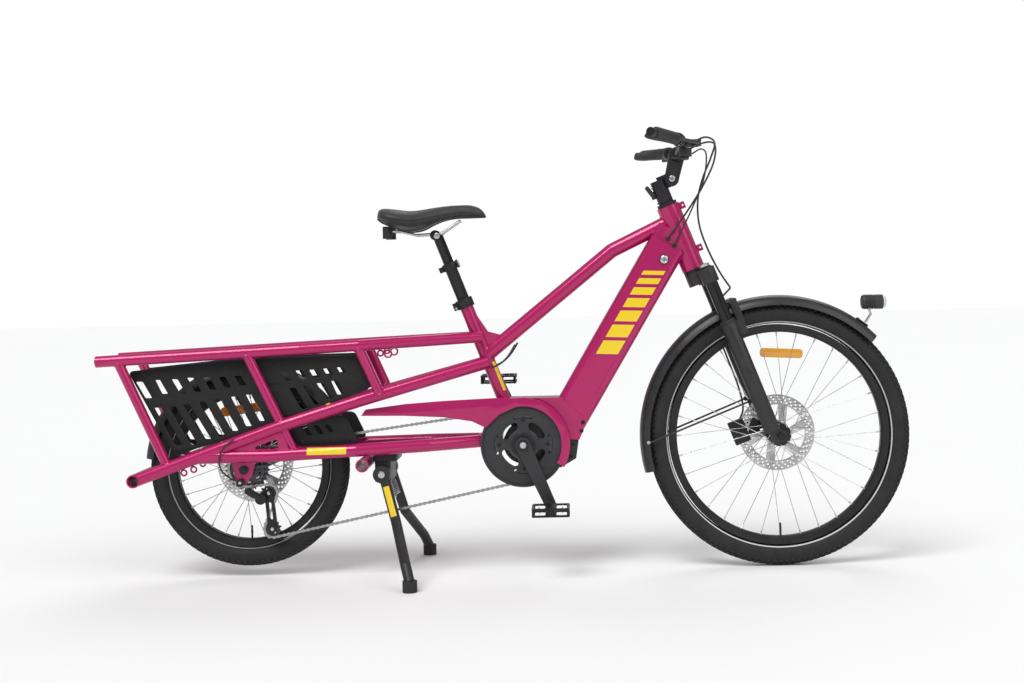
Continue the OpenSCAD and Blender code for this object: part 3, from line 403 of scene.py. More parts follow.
def saddle_vinyl(name):
    """Fine-grained saddle cover: small pebbles, gentle creases and a satin sheen."""
    f = Finish(name, Specular_IOR_Level=0.5, Sheen_Weight=0.12)
    pebbles = f.cells(700)
    creases = f.noise(60, 6.0, 0.6)
    cloud = f.noise(16, 3.0)
    body = f.mix(f.ranged(cloud, 0, 1), (0.014, 0.014, 0.015, 1), (0.028, 0.028, 0.03, 1))
    fine = f.bump(pebbles, 0.35, 0.0003)
    return f.set(
        Base_Color=body,
        Roughness=f.ranged(creases, 0.42, 0.6),
        Normal=f.bump(creases, 0.12, 0.0008, fine),
    ).material


def label_yellow(name):
    """Plain yellow film with a slight edge wear."""
    f = Finish(name, Roughness=0.35, Coat_Weight=0.4)
    worn = f.ramp(f.noise(260, 5.0, 0.65), (0.62, (0, 0, 0, 1)), (0.7, (1, 1, 1, 1)))
    return f.set(
        Base_Color=f.mix(worn * 0.5, (0.86, 0.60, 0.012, 1), (0.5, 0.33, 0.01, 1)),
        Normal=f.bump(f.noise(500, 2.0), 0.08, 0.0002),
    ).material


FINISHES = {}


def finish(name):
    """A finish by its name, made when first asked for."""
    if name not in FINISHES:
        FINISHES[name] = MAKERS[name]()
    return FINISHES[name]


def pink():
    return tuple(bpy.context.scene.bike_frame.colour)


MAKERS = {
    "frame_paint": lambda: painted("frame_paint", pink(), frame_marks),
    "rack_paint": lambda: painted("rack_paint", pink(), rear_marks),
    "plain_paint": lambda: painted("plain_paint", pink()),
    "weld": lambda: painted("weld_paint", pink()),
    "black_alloy": lambda: satin_metal("black_alloy", (0.022, 0.022, 0.024), 0.4, 0.5),
    "stand_black": lambda: satin_metal("stand_black", (0.026, 0.026, 0.027), 0.46, 0.3, 300),
    "rim_black": lambda: satin_metal("rim_black", (0.018, 0.018, 0.019), 0.42, 0.4),
    "fork_black": lambda: satin_metal("fork_black", (0.03, 0.03, 0.031), 0.42, 0.25, 240),
    "stanchion": lambda: satin_metal("stanchion", (0.03, 0.03, 0.032), 0.2, 0.8),
    "bright_steel": lambda: satin_metal("bright_steel", (0.55, 0.55, 0.56), 0.26, 1.0),
    "spoke_steel": lambda: satin_metal("spoke_steel", (0.62, 0.62, 0.64), 0.24, 1.0),
    "chain_steel": lambda: satin_metal("chain_steel", (0.4, 0.39, 0.38), 0.34, 1.0),
    "cog_steel": lambda: brushed_metal("cog_steel", (0.11, 0.11, 0.115), 0.4, REAR),
    "front_disc_steel": lambda: brushed_metal("front_disc_steel", (0.6, 0.59, 0.58), 0.26, FRONT),
    "rear_disc_steel": lambda: brushed_metal("rear_disc_steel", (0.6, 0.59, 0.58), 0.26, REAR),
    "motor_black": lambda: moulded("motor_black", (0.02, 0.02, 0.021), 0.48, 700),
    "skirt_black": lambda: moulded("skirt_black", (0.005, 0.005, 0.0055), 0.6, 900),
    "fender_black": lambda: moulded("fender_black", (0.022, 0.022, 0.024), 0.3, 1600, 0.08),
    "disc_black": lambda: moulded("disc_black", (0.028, 0.028, 0.03), 0.5, 1200, 0.15),
    "cable_black": lambda: moulded("cable_black", (0.02, 0.02, 0.021), 0.45, 1500, 0.15),
    "grip_rubber": lambda: moulded("grip_rubber", (0.03, 0.03, 0.031), 0.66, 480, 0.6),
    "rubber": lambda: moulded("soft_rubber", (0.02, 0.02, 0.02), 0.7, 600, 0.4),
    "front_tyre": lambda: tyre_rubber("front_tyre_rubber", FRONT, 0.2915),
    "rear_tyre": lambda: tyre_rubber("rear_tyre_rubber", REAR, 0.2105),
    "amber": lambda: prism("amber_reflector", (0.82, 0.36, 0.012)),
    "orange": lambda: prism("orange_reflector", (0.78, 0.2, 0.01)),
    "white_prism": lambda: prism("white_reflector", (0.75, 0.75, 0.77)),
    "lens": lambda: clear_lens("lamp_lens"),
    "vinyl": lambda: saddle_vinyl("saddle_vinyl"),
    "yellow": lambda: label_yellow("yellow_film"),
}


# ------------------------------------------------------------------ meshes


def new_object(name, mesh):
    made = bpy.data.objects.new(name, mesh)
    bpy.context.scene.collection.objects.link(made)
    return made


def shade(mesh, sharp=35):
    mesh.shade_smooth()
    mesh.set_sharp_from_angle(angle=math.radians(sharp))


def mesh_of(name, points, faces, sharp=35):
    """A closed mesh from points and faces, with its faces turned outwards."""
    mesh = bpy.data.meshes.new(name)
    mesh.from_pydata([tuple(p) for p in points], [], faces)
    bm = bmesh.new()
    bm.from_mesh(mesh)
    bmesh.ops.remove_doubles(bm, verts=bm.verts, dist=1e-6)
    bmesh.ops.recalc_face_normals(bm, faces=bm.faces)
    bm.to_mesh(mesh)
    bm.free()
    shade(mesh, sharp)
    return mesh


def joined(name, meshes, sharp=35):
    """One mesh from several, with the materials that each has."""
    bm = bmesh.new()
    slots = []
    for mesh in meshes:
        start = len(bm.faces)
        bm.from_mesh(mesh)
        bm.faces.ensure_lookup_table()
        own = [m for m in mesh.materials] or [None]
        for m in own:
            if m not in slots:
                slots.append(m)
        for face in bm.faces[start:]:
            face.material_index = slots.index(own[min(face.material_index, len(own) - 1)])
    made = bpy.data.meshes.new(name)
    for m in slots:
        made.materials.append(m)
    bm.to_mesh(made)
    bm.free()
    shade(made, sharp)
    for mesh in meshes:
        bpy.data.meshes.remove(mesh)
    return made


def coloured(mesh, name):
    """The mesh with one finish."""
    mesh.materials.clear()
    mesh.materials.append(finish(name))
    return mesh


def applied(obj):
    """The object's evaluated mesh as a plain mesh; the object is removed."""
    graph = bpy.context.evaluated_depsgraph_get()
    mesh = bpy.data.meshes.new_from_object(obj.evaluated_get(graph), depsgraph=graph)
    data, kind = obj.data, obj.type
    bpy.data.objects.remove(obj)
    if kind == "MESH" and data.users == 0:
        bpy.data.meshes.remove(data)
    if kind == "CURVE" and data.users == 0:
        bpy.data.curves.remove(data)
    return mesh


def rounded(mesh, width, segments=2, angle=35, levels=0):
    """The mesh with bevelled edges, and subdivided if levels is above 0."""
    obj = new_object("rounding", mesh)
    if width:
        bevel = obj.modifiers.new("Bevel", "BEVEL")
        bevel.width, bevel.segments, bevel.limit_method = width, segments, "ANGLE"
        bevel.angle_limit = math.radians(angle)
        bevel.harden_normals = False
    if levels:
        smooth = obj.modifiers.new("Subdivision", "SUBSURF")
        smooth.levels = smooth.render_levels = levels
    made = applied(obj)
    shade(made, 40)
    return made


def piece(name, mesh, body, replaces=()):
    """A finished piece that rides on a CAD body."""
    obj = new_object(name, mesh)
    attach(obj, body)
    if replaces:
        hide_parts(*replaces)
    return obj


def cad_mesh(node, sharp=32):
    """A CAD node's mesh with its triangles joined, ready for smooth shading."""
    mesh = frame["nodes"][node].data.copy()
    bm = bmesh.new()
    bm.from_mesh(mesh)
    bmesh.ops.remove_doubles(bm, verts=bm.verts, dist=2e-6)
    bmesh.ops.dissolve_degenerate(bm, edges=bm.edges, dist=1e-6)
    bm.to_mesh(mesh)
    bm.free()
    if "custom_normal" in mesh.attributes:
        mesh.attributes.remove(mesh.attributes["custom_normal"])
    shade(mesh, sharp)
    return mesh


def finished_node(node, look, bevel=0.0, name=None, zones=()):
    """Stands for a CAD node: the same shape with joined triangles, softened edges and a finish.

    zones are (finish, test) pairs; a face whose middle passes the test takes that finish."""
    mesh = cad_mesh(node)
    if bevel:
        bm = bmesh.new()
        bm.from_mesh(mesh)
        bmesh.ops.dissolve_limit(bm, angle_limit=math.radians(0.5), verts=bm.verts, edges=bm.edges)
        bm.to_mesh(mesh)
        bm.free()
        mesh = rounded(mesh, bevel, 2, 40)
    coloured(mesh, look)
    for index, (zone, test) in enumerate(zones, 1):
        mesh.materials.append(finish(zone))
        for polygon in mesh.polygons:
            if test(polygon.center):
                polygon.material_index = index
    return piece(name or node + "_shell", mesh, BODY_OF[node], [node])


def revolved(name, profile, centre, steps=96, closed=True):
    """A profile of (radius, sideways) in metres turned about the Y axis through centre."""
    points, faces, n = [], [], len(profile)
    for i in range(steps):
        a = 2 * math.pi * i / steps
        for radius, y in profile:
            points.append((centre[0] + radius * math.cos(a), centre[1] + y, centre[2] + radius * math.sin(a)))
    for i in range(steps):
        j = (i + 1) % steps
        for k in range(n if closed else n - 1):
            m = (k + 1) % n
            faces.append((i * n + k, i * n + m, j * n + m, j * n + k))
    return mesh_of(name, points, faces)


def turned_about(name, profile, start, direction, steps=32):
    """A closed profile of (radius, distance) turned about a line from start; ends at radius 0 are poles."""
    direction = Vector(direction).normalized()
    u = direction.orthogonal().normalized()
    v = direction.cross(u)
    points, faces, n = [], [], len(profile)
    for i in range(steps):
        a = 2 * math.pi * i / steps
        side = u * math.cos(a) + v * math.sin(a)
        for radius, reach in profile:
            points.append(Vector(start) + direction * reach + side * radius)
    for i in range(steps):
        j = (i + 1) % steps
        for k in range(n - 1):
            faces.append((i * n + k, i * n + k + 1, j * n + k + 1, j * n + k))
    return mesh_of(name, points, faces)


def loft(name, rings, closed_path=False, caps=True, sharp=35):
    """Skin over rings of points, all of one length."""
    n, m = len(rings), len(rings[0])
    points = [p for ring in rings for p in ring]
    faces = []
    for i in range(n if closed_path else n - 1):
        j = (i + 1) % n
        for k in range(m):
            l = (k + 1) % m
            faces.append((i * m + k, i * m + l, j * m + l, j * m + k))
    if caps and not closed_path:
        faces.append(tuple(range(m)))
        faces.append(tuple((n - 1) * m + k for k in reversed(range(m))))
    return mesh_of(name, points, faces, sharp)


def flat_plate(name, outline, holes, thickness, place, edge=0.0004):
    """A flat plate with holes and softened edges, from outlines in metres, carried by the matrix place."""
    curve = bpy.data.curves.new(name, "CURVE")
    curve.dimensions, curve.fill_mode = "2D", "BOTH"
    curve.extrude = thickness / 2 - edge
    curve.bevel_depth, curve.bevel_resolution, curve.offset = edge, 1, -edge
    for loop in [outline, *holes]:
        spline = curve.splines.new("POLY")
        spline.points.add(len(loop) - 1)
        spline.points.foreach_set("co", [c for x, y in loop for c in (x, y, 0, 1)])
        spline.use_cyclic_u = True
    mesh = applied(new_object(name, curve))
    mesh.transform(place)
    bm = bmesh.new()
    bm.from_mesh(mesh)
    bmesh.ops.remove_doubles(bm, verts=bm.verts, dist=1e-6)
    bmesh.ops.recalc_face_normals(bm, faces=bm.faces)
    bm.to_mesh(mesh)
    bm.free()
    shade(mesh, 35)
    return mesh


def upright(x, y, z):
    """Carries a flat outline into the bicycle's side plane, its X ahead and its Y up."""
    return Matrix(((1, 0, 0, x), (0, 0, -1, y), (0, 1, 0, z), (0, 0, 0, 1)))


def circle(radius, steps=48, centre=(0, 0), start=0.0):
    return [(centre[0] + radius * math.cos(start + 2 * math.pi * i / steps),
             centre[1] + radius * math.sin(start + 2 * math.pi * i / steps)) for i in range(steps)]


def smooth_line(points, per=6, closed=False):
    """A Catmull-Rom curve through the points."""
    pts = [Vector(p) for p in points]
    n, out = len(pts), []
    for i in range(n if closed else n - 1):
        a = pts[(i - 1) % n if closed else max(i - 1, 0)]
        b, c = pts[i], pts[(i + 1) % n]
        d = pts[(i + 2) % n if closed else min(i + 2, n - 1)]
        for s in range(per):
            u = s / per
            out.append(0.5 * (2 * b + (c - a) * u + (2 * a - 5 * b + 4 * c - d) * u * u
                              + (3 * b - a - 3 * c + d) * u ** 3))
    if not closed:
        out.append(pts[-1])
    return out


def line_length(points):
    return sum((Vector(b) - Vector(a)).length for a, b in zip(points, points[1:]))


# ------------------------------------------------------------------ geometry nodes


def new_tree(name, *inputs):
    """An empty geometry tree with named inputs, its group input node, and a function that adds nodes."""
    tree = bpy.data.node_groups.new(name, "GeometryNodeTree")
    tree.interface.new_socket("Geometry", in_out="INPUT", socket_type="NodeSocketGeometry")
    for label, kind in inputs:
        tree.interface.new_socket(label, in_out="INPUT", socket_type=kind)
    tree.interface.new_socket("Geometry", in_out="OUTPUT", socket_type="NodeSocketGeometry")
    entry = tree.nodes.new("NodeGroupInput")

    def add(kind, settings=(), **links):
        node = tree.nodes.new(kind)
        for key, value in dict(settings).items():
            setattr(node, key, value)
        for key, value in links.items():
            socket = node.inputs[int(key[1:])] if key[0] == "i" and key[1:].isdigit() else node.inputs[key.replace("_", " ")]
            if isinstance(value, bpy.types.NodeSocket):
                tree.links.new(value, socket)
            else:
                socket.default_value = value
        return node

    return tree, entry, add


def wire_tree():
    """Every run of edges becomes a round wire."""
    tree, entry, add = new_tree(
        "wires", ("Radius", "NodeSocketFloat"), ("Sides", "NodeSocketInt"), ("Finish", "NodeSocketMaterial"))
    line = add("GeometryNodeMeshToCurve", Mesh=entry.outputs["Geometry"])
    round_ = add("GeometryNodeCurvePrimitiveCircle", Resolution=entry.outputs["Sides"], Radius=entry.outputs["Radius"])
    tube = add("GeometryNodeCurveToMesh", Curve=line.outputs["Curve"], Profile_Curve=round_.outputs["Curve"],
               Fill_Caps=True)
    close_wires(tree, entry, add, tube.outputs["Mesh"])
    return tree


def close_wires(tree, entry, add, geometry):
    real = add("GeometryNodeRealizeInstances", Geometry=geometry)
    dress = add("GeometryNodeSetMaterial", Geometry=real.outputs["Geometry"], Material=entry.outputs["Finish"])
    leave = tree.nodes.new("NodeGroupOutput")
    tree.links.new(dress.outputs["Geometry"], leave.inputs["Geometry"])


def copies_tree():
    """A pattern stands on every point, turned and sized by the point's own values."""
    tree, entry, add = new_tree(
        "copies", ("Pattern", "NodeSocketObject"), ("Finish", "NodeSocketMaterial"))
    pattern = add("GeometryNodeObjectInfo", i0=entry.outputs["Pattern"])
    turn = add("GeometryNodeInputNamedAttribute", {"data_type": "FLOAT_VECTOR"}, Name="turn")
    size = add("GeometryNodeInputNamedAttribute", {"data_type": "FLOAT_VECTOR"}, Name="size")
    euler = add("FunctionNodeEulerToRotation", i0=turn.outputs["Attribute"])
    stand = add(
        "GeometryNodeInstanceOnPoints", Points=entry.outputs["Geometry"], Instance=pattern.outputs["Geometry"],
        Rotation=euler.outputs["Rotation"], Scale=size.outputs["Attribute"])
    close_wires(tree, entry, add, stand.outputs["Instances"])
    return tree


TREES = {}


def run_tree(maker, mesh, **inputs):
    """Runs a tree on a mesh and returns the result as a plain mesh."""
    if maker not in TREES:
        TREES[maker] = maker()
    tree = TREES[maker]
    obj = new_object("growing", mesh)
    grow = obj.modifiers.new("Nodes", "NODES")
    grow.node_group = tree
    for item in tree.interface.items_tree:
        if item.in_out == "INPUT" and item.name in inputs:
            grow[item.identifier] = inputs[item.name]
    made = applied(obj)
    shade(made, 40)
    return made


def wires(runs, radius, look, sides=10):
    """Round wires along the given runs of points."""
    points, edges = [], []
    for run in runs:
        start = len(points)
        points += [tuple(p) for p in run]
        edges += [(start + i, start + i + 1) for i in range(len(run) - 1)]
    mesh = bpy.data.meshes.new("runs")
    mesh.from_pydata(points, edges, [])
    return run_tree(wire_tree, mesh, Radius=radius, Sides=sides, Finish=finish(look))


def rings(loops, radius, look, sides=8):
    """Round wires along closed loops of points."""
    points, edges = [], []
    for loop in loops:
        start = len(points)
        points += [tuple(p) for p in loop]
        edges += [(start + i, start + (i + 1) % len(loop)) for i in range(len(loop))]
    mesh = bpy.data.meshes.new("loops")
    mesh.from_pydata(points, edges, [])
    return run_tree(wire_tree, mesh, Radius=radius, Sides=sides, Finish=finish(look))


def facing(direction, roll=0.0):
    """The turn that carries a pattern's +Z to a direction, after a roll about it."""
    quaternion = Vector(direction).to_track_quat("Z", "Y")
    return (quaternion.to_matrix() @ Matrix.Rotation(roll, 3, "Z")).to_euler()


def copies(pattern, places, look):
    """Copies of a pattern mesh; places are (point, turn as Euler angles, size)."""
    mesh = bpy.data.meshes.new("places")
    mesh.from_pydata([tuple(p) for p, _, _ in places], [], [])
    turn = mesh.attributes.new("turn", "FLOAT_VECTOR", "POINT")
    turn.data.foreach_set("vector", [c for _, t, _ in places for c in t])
    size = mesh.attributes.new("size", "FLOAT_VECTOR", "POINT")
    size.data.foreach_set(
        "vector", [c for _, _, s in places for c in (s if isinstance(s, tuple) else (s, s, s))])
    source = new_object("pattern", pattern)
    made = run_tree(copies_tree, mesh, Pattern=source, Finish=finish(look))
    bpy.data.objects.remove(source)
    bpy.data.meshes.remove(pattern)
    return made


def cap_screw():
    """A socket-head screw of unit radius, its head from 0 to 1 along Z, with a hexagonal recess."""
    steps = 24
    outer = [(1.0, 0.0), (1.0, 0.8), (0.86, 1.0), (0.56, 1.0)]
    points, faces = [], []
    for radius, z in outer:
        points += [(radius * math.cos(2 * math.pi * i / steps), radius * math.sin(2 * math.pi * i / steps), z)
                   for i in range(steps)]
    for z in (1.0, 0.35):
        for i in range(steps):
            a = 2 * math.pi * i / steps
            hexagon = 0.46 * math.cos(math.pi / 6) / math.cos((a % (math.pi / 3)) - math.pi / 6)
            points.append((hexagon * math.cos(a), hexagon * math.sin(a), z))
    for ring in range(5):
        for i in range(steps):
            j = (i + 1) % steps
            faces.append((ring * steps + i, ring * steps + j, (ring + 1) * steps + j, (ring + 1) * steps + i))
    faces.append(tuple(range(steps - 1, -1, -1)))
    faces.append(tuple(5 * steps + i for i in range(steps)))
    return mesh_of("cap_screw", points, faces, 30)


def screws(places, look="bright_steel"):
    """Cap screws; places are (foot of the head, direction it faces, radius, height)."""
    return copies(
        cap_screw(),
        [(p, facing(d), (r, r, h)) for p, d, r, h in places],
        look)


# ------------------------------------------------------------------ settings


class BikeFrameSettings(bpy.types.PropertyGroup):
    colour: FloatVectorProperty(
        name="Paint colour", description="Base colour of the frame paint", subtype="COLOR",
        size=3, min=0, max=1, default=(0.45, 0.003, 0.115))
    bead: FloatProperty(
        name="Weld bead", description="Radius of the weld beads round the tube joints",
        default=0.0021, min=0.001, max=0.004, unit="LENGTH")
    screw: FloatProperty(
        name="Screw head", description="Radius of a small screw head", default=0.0042,
        min=0.003, max=0.006, unit="LENGTH")


class BikeWheelSettings(bpy.types.PropertyGroup):
    spokes: IntProperty(name="Spokes", description="Spokes in each wheel", default=32, min=24, max=40)
    spoke: FloatProperty(
        name="Spoke radius", description="Radius of a spoke", default=0.001, min=0.0008, max=0.0014, unit="LENGTH")
    lug: FloatProperty(
        name="Tread depth", description="Height of the tread lugs", default=0.0024, min=0.001, max=0.004,
        unit="LENGTH")


class BikeSeatSettings(bpy.types.PropertyGroup):
    fill: FloatProperty(
        name="Fill", description="How tight the saddle padding is", default=0.8, min=0, max=1, subtype="FACTOR")
    groove: FloatProperty(
        name="Groove", description="Depth of the relief groove along the saddle", default=0.0035, min=0,
        max=0.008, unit="LENGTH")


# ------------------------------------------------------------------ frame


def bead_round(strut_start, strut_end, strut_r, rail_start, rail_end, rail_r, steps=40):
    """The closed line where a strut's surface meets a rail's, for a weld bead."""
    a, b = Vector(strut_start), Vector(strut_end)
    c, d = Vector(rail_start), Vector(rail_end)
    along, rail = (b - a).normalized(), (d - c).normalized()
    u = along.orthogonal().normalized()
    v = along.cross(u)
    line = []
    for i in range(steps):
        t = 2 * math.pi * i / steps
        p = a + (u * math.cos(t) + v * math.sin(t)) * strut_r
        w = p - c
        w = w - rail * w.dot(rail)
        g = along - rail * along.dot(rail)
        qa, qb, qc = g.dot(g), 2 * g.dot(w), w.dot(w) - rail_r * rail_r
        inside = max(qb * qb - 4 * qa * qc, 0.0)
        line.append(p + along * ((-qb - math.sqrt(inside)) / (2 * qa)))
    return line


def rack_beads(side):
    """Weld beads of one side of the rear frame."""
    y, inner = 97 * side, 87 * side

    def rail(x):
        return at_rear(x, y if x < 200 else inner, 299 + 0.042 * x)

    top = (rail(-366), rail(150))
    top_front = (at_rear(150, y, 305.3), at_rear(300, inner, 311.6))
    low = (at_rear(-278, y, -21), at_rear(100, y, 112))
    low_front = (at_rear(100, y, 112), at_rear(300, inner, 172))
    loops = []
    for start, end, r, rails in (
            ((-312, 285.9), (-189, 13), 12.5, (top, low)),
            ((14, 299.6), (103, 112), 12.5, (top, low))):
        p, q = at_rear(start[0], y, start[1]), at_rear(end[0], y, end[1])
        middle = (p + q) / 2
        loops.append(bead_round(middle, p, r * MM, *rails[0], 14.5 * MM))
        loops.append(bead_round(middle, q, r * MM, *rails[1], 16.5 * MM))
    p, q = at_rear(296, inner, 311.4), at_rear(352, inner, 184)
    loops.append(bead_round((p + q) / 2, p, 0.0125, *top_front, 0.0145))
    seat_end = Vector((on_seat_tube(0, 0, 226).x, side * 0.024, on_seat_tube(0, 0, 226).z))
    loops.append(bead_round((p + q) / 2, q, 0.0125, at_rear(300, inner, 172), seat_end, 0.0165))
    p, q = at_rear(104, y, 112), at_rear(136, y, 42)
    loops.append(bead_round((p + q) / 2, p, 0.0095, *low_front, 0.0165))
    loops.append(bead_round((p + q) / 2, q, 0.0095, at_rear(66, y, 36), at_rear(290, y, 46), 0.0165))
    for x in (-330, 14):
        inside = at_rear(x, 0, 299 + 0.042 * x)
        loops.append(bead_round(inside, rail(x), 0.009, *top, 0.0145))
    return loops


def eyelets(side):
    """Hanging strap loops under the rails, on one side."""
    y = 97 * side
    loops = []
    for x, z, r in ((371, 288, 9), (352, 290, 7), (-149, -2, 7), (-124, 6, 7)):
        centre = at_rear(x, y if x < 0 else 66 * side, z)
        loops.append([centre + Vector((r * MM * math.cos(a), 0, r * MM * math.sin(a)))
                      for a in (2 * math.pi * i / 28 for i in range(28))])
    return loops


class BIKE_OT_main_frame(bpy.types.Operator):
    """Painted main frame with its battery cover, lock and weld beads"""

    bl_idname = "bike.main_frame"
    bl_label = "Main frame"

    def execute(self, context):
        bead = context.scene.bike_frame.bead
        finished_node("main_frame", "frame_paint")
        finished_node("battery_cover", "frame_paint", 0.0, zones=(
            ("disc_black", lambda c: c.y < -0.0376),))
        finished_node("battery", "motor_black")
        finished_node("rack_cross_tubes", "plain_paint")
        finished_node("chain_guard", "plain_paint", 0.0006)
        lock = on_down_tube(10, -40.2, DOWN_L / MM - 40)
        ring = turned_about(
            "lock_ring", [(0, 0), (0.0062, 0), (0.0062, 0.0016), (0.0076, 0.0022), (0.0088, 0.0016), (0.0104, 0.0004),
                          (0.0104, -0.0006), (0, -0.0006)], lock, (0, -1, 0), 40)
        slot = flat_plate(
            "lock_slot", [(-0.0009, -0.003), (0.0009, -0.003), (0.0009, 0.003), (-0.0009, 0.003)], [], 0.001,
            upright(lock.x, lock.y - 0.0003, lock.z), 0.0002)
        piece("battery_lock", joined("battery_lock", [coloured(ring, "bright_steel"), coloured(slot, "disc_black")]),
              "frame")
        loops = []
        head = (on_steerer(0, 0, 480), on_steerer(0, 0, 657))
        top_head, top_bend = on_steerer(0, 0, 619), on_steerer(0, 0, 619) + Vector((-0.161, 0, -0.077))
        loops.append(bead_round(top_bend, top_head, 0.019, *head, 0.030, 56))
        top_seat = on_seat_tube(0, 0, 243)
        seat = (on_seat_tube(0, 0, 100), on_seat_tube(0, 0, 398))
        loops.append(bead_round(top_bend, top_seat, 0.019, *seat, 0.0175, 56))
        beads = rings(loops, bead, "weld", 8)
        piece("frame_welds", beads, "frame")
        turn = [2 * math.pi * i / 72 for i in range(72)]
        rims = [[on_steerer(30.4 * math.cos(a), 30.4 * math.sin(a), z) for a in turn] for z in (480.9, 656.1)]
        piece("head_rims", rings(rims, 0.0008, "weld", 8), "frame")
        return {"FINISHED"}


class BIKE_OT_rear_frame(bpy.types.Operator):
    """Rear frame of rails and struts on both sides, with beads, loops, plugs and end caps"""

    bl_idname = "bike.rear_frame"
    bl_label = "Rear frame"

    def execute(self, context):
        bead = context.scene.bike_frame.bead
        for side, node in ((-1, "rear_frame_right"), (1, "rear_frame_left")):
            word = node.split("_")[-1]
            finished_node(node, "rack_paint")
            piece("rack_welds_" + word, rings(rack_beads(side), bead, "weld", 8), "frame")
            piece("strap_loops_" + word, rings(eyelets(side), 0.0024, "weld", 8), "frame")
            end = at_rear(-366, 97 * side, 283.6)
            cap = turned_about(
                "rail_cap", [(0, 0.0016), (0.010, 0.0014), (0.0118, 0.0006), (0.0118, -0.004), (0, -0.004)],
                end + Vector((-0.0006, 0, 0)), (-1, 0, -0.042), 32)
            piece("rail_cap_" + word, coloured(cap, "rubber"), "frame")
            plugs = []
            for x, y, z in ((-50, 97, 73), (220, 93.5, 163.5)):
                plugs.append((at_rear(x, y * side, z), (-0.3, 0, 0.95), 0.0062, 0.003))
            piece("yellow_plugs_" + word, screws(plugs, "yellow"), "frame")
        return {"FINISHED"}


def slanted_slot(x_top, z_top, x_low, z_low, width):
    """A slot with round corners between two heights, leaning like the struts; rear-axle millimetres."""
    half = width / 2
    corners = [(x_top - half, z_top), (x_top + half, z_top), (x_low + half, z_low), (x_low - half, z_low)]
    out, r = [], 3.2
    for i, p in enumerate(corners):
        a, b = corners[i - 1], corners[(i + 1) % 4]
        p = Vector(p)
        ua, ub = (Vector(a) - p).normalized(), (Vector(b) - p).normalized()
        start, end = p + ua * r, p + ub * r
        for k in range(5):
            t = k / 4
            out.append(tuple(start.lerp(p, t).lerp(p.lerp(end, t), t)))
    return [(x * MM, z * MM) for x, z in out]


def skirt_holes():
    upper = [(-252, 209), (-205, 213), (-164, 215.5), (-124, 219.5), (-84, 222), (-45, 224.5), (-5, 227),
             (112, 236), (150, 239.5), (184, 242), (219, 245), (254, 248)]
    tall = [42, 41, 38, 36, 32, 28, 26, 24, 22, 19, 18, 17]
    holes = []
    for (x, z), h in zip(upper, tall):
        holes.append(slanted_slot(x - h * 0.28, z + h / 2, x + h * 0.28, z - h / 2, 17))
    lower = [(-218, 163, -166, 66), (-181, 166, -126, 66), (-145, 170, -90, 77), (-105, 176, -55, 86),
             (-64, 181, -20, 98), (-23, 188, 15, 111), (15, 193, 50, 123),
             (126, 206, 157, 152), (162, 212, 191, 162), (197, 217, 220, 176), (234, 222, 249, 187)]
    for x_top, z_top, x_low, z_low in lower:
        holes.append(slanted_slot(x_top, z_top, x_low, z_low, 17))
    for x, z, h in ((160, 98, 26), (190, 99, 24), (218, 101, 20)):
        holes.append(slanted_slot(x - h * 0.28, z + h / 2, x + h * 0.28, z - h / 2, 13))
    return holes


def soft_outline(points, radius, per=6):
    """An outline in millimetres with rounded corners, in metres."""
    out, n = [], len(points)
    for i, p in enumerate(points):
        a, b, p = Vector(points[i - 1]), Vector(points[(i + 1) % n]), Vector(p)
        r = min(radius, (a - p).length * 0.45, (b - p).length * 0.45)
        start, end = p + (a - p).normalized() * r, p + (b - p).normalized() * r
        for k in range(per + 1):
            t = k / per
            q = start.lerp(p, t).lerp(p.lerp(end, t), t)
            out.append((q.x * MM, q.y * MM))
    return out


class BIKE_OT_skirts(bpy.types.Operator):
    """Slotted guards that keep coats and feet out of the rear wheel"""

    bl_idname = "bike.skirts"
    bl_label = "Wheel skirts"

    def execute(self, context):
        outline = [(-290, 255), (-40, 278), (120, 283), (284, 285), (325, 202.5), (113, 129.5), (261, 129.5),
                   (292, 63), (141, 57), (90, 110), (-120, 59), (-175, 39)]
        meshes = []
        low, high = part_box("wheel_skirts")
        for side in (-1, 1):
            middle = side * (high.y - 0.0015)
            plate = flat_plate(
                "skirt", soft_outline(outline, 12), skirt_holes(), 0.003,
                upright(REAR.x, middle, REAR.z), 0.0006)
            meshes.append(coloured(plate, "skirt_black"))
            rim = [Vector((REAR.x + x, middle, REAR.z + z)) for x, z in soft_outline(outline, 12)]
            meshes.append(rings([rim], 0.0019, "skirt_black", 8))
        heads = []
        for side in (-1, 1):
            for x, z in ((-250, 246), (-40, 262), (90, 268), (268, 272), (-165, 56), (300, 210), (150, 68), (270, 74)):
                heads.append((at_rear(x, side * (high.y / MM - 0.2), z), (0, side, 0), 0.0045, 0.0022))
        meshes.append(screws(heads, "black_alloy"))
        piece("wheel_skirts_pair", joined("wheel_skirts_pair", meshes), "frame", ["wheel_skirts"])
        return {"FINISHED"}


def fender_mesh(name, centre, outer, half, start, end, steps):
    """A rolled fender: a rounded crown with turned-in edges, of even wall, along an arc in degrees."""
    wall = 0.0022
    crown = [(0.0, 0.0), (0.12, 0.0), (0.3, 0.0012), (0.5, 0.0034), (0.68, 0.0072), (0.82, 0.0125),
             (0.93, 0.0195), (1.0, 0.0255)]
    right = [(outer - drop, half * s) for s, drop in crown]
    top = [(r, -y) for r, y in reversed(right[1:])] + right
    under = []
    for i, (r, y) in enumerate(top):
        a, b = top[max(i - 1, 0)], top[min(i + 1, len(top) - 1)]
        t = Vector((b[0] - a[0], b[1] - a[1])).normalized()
        under.append((r - t.y * wall, y + t.x * wall))
    section = top + list(reversed(under))
    rings_ = []
    for i in range(steps + 1):
        a = math.radians(start + (end - start) * i / steps)
        rings_.append([Vector((centre.x + r * math.cos(a), y, centre.z + r * math.sin(a))) for r, y in section])
    return loft(name, rings_)


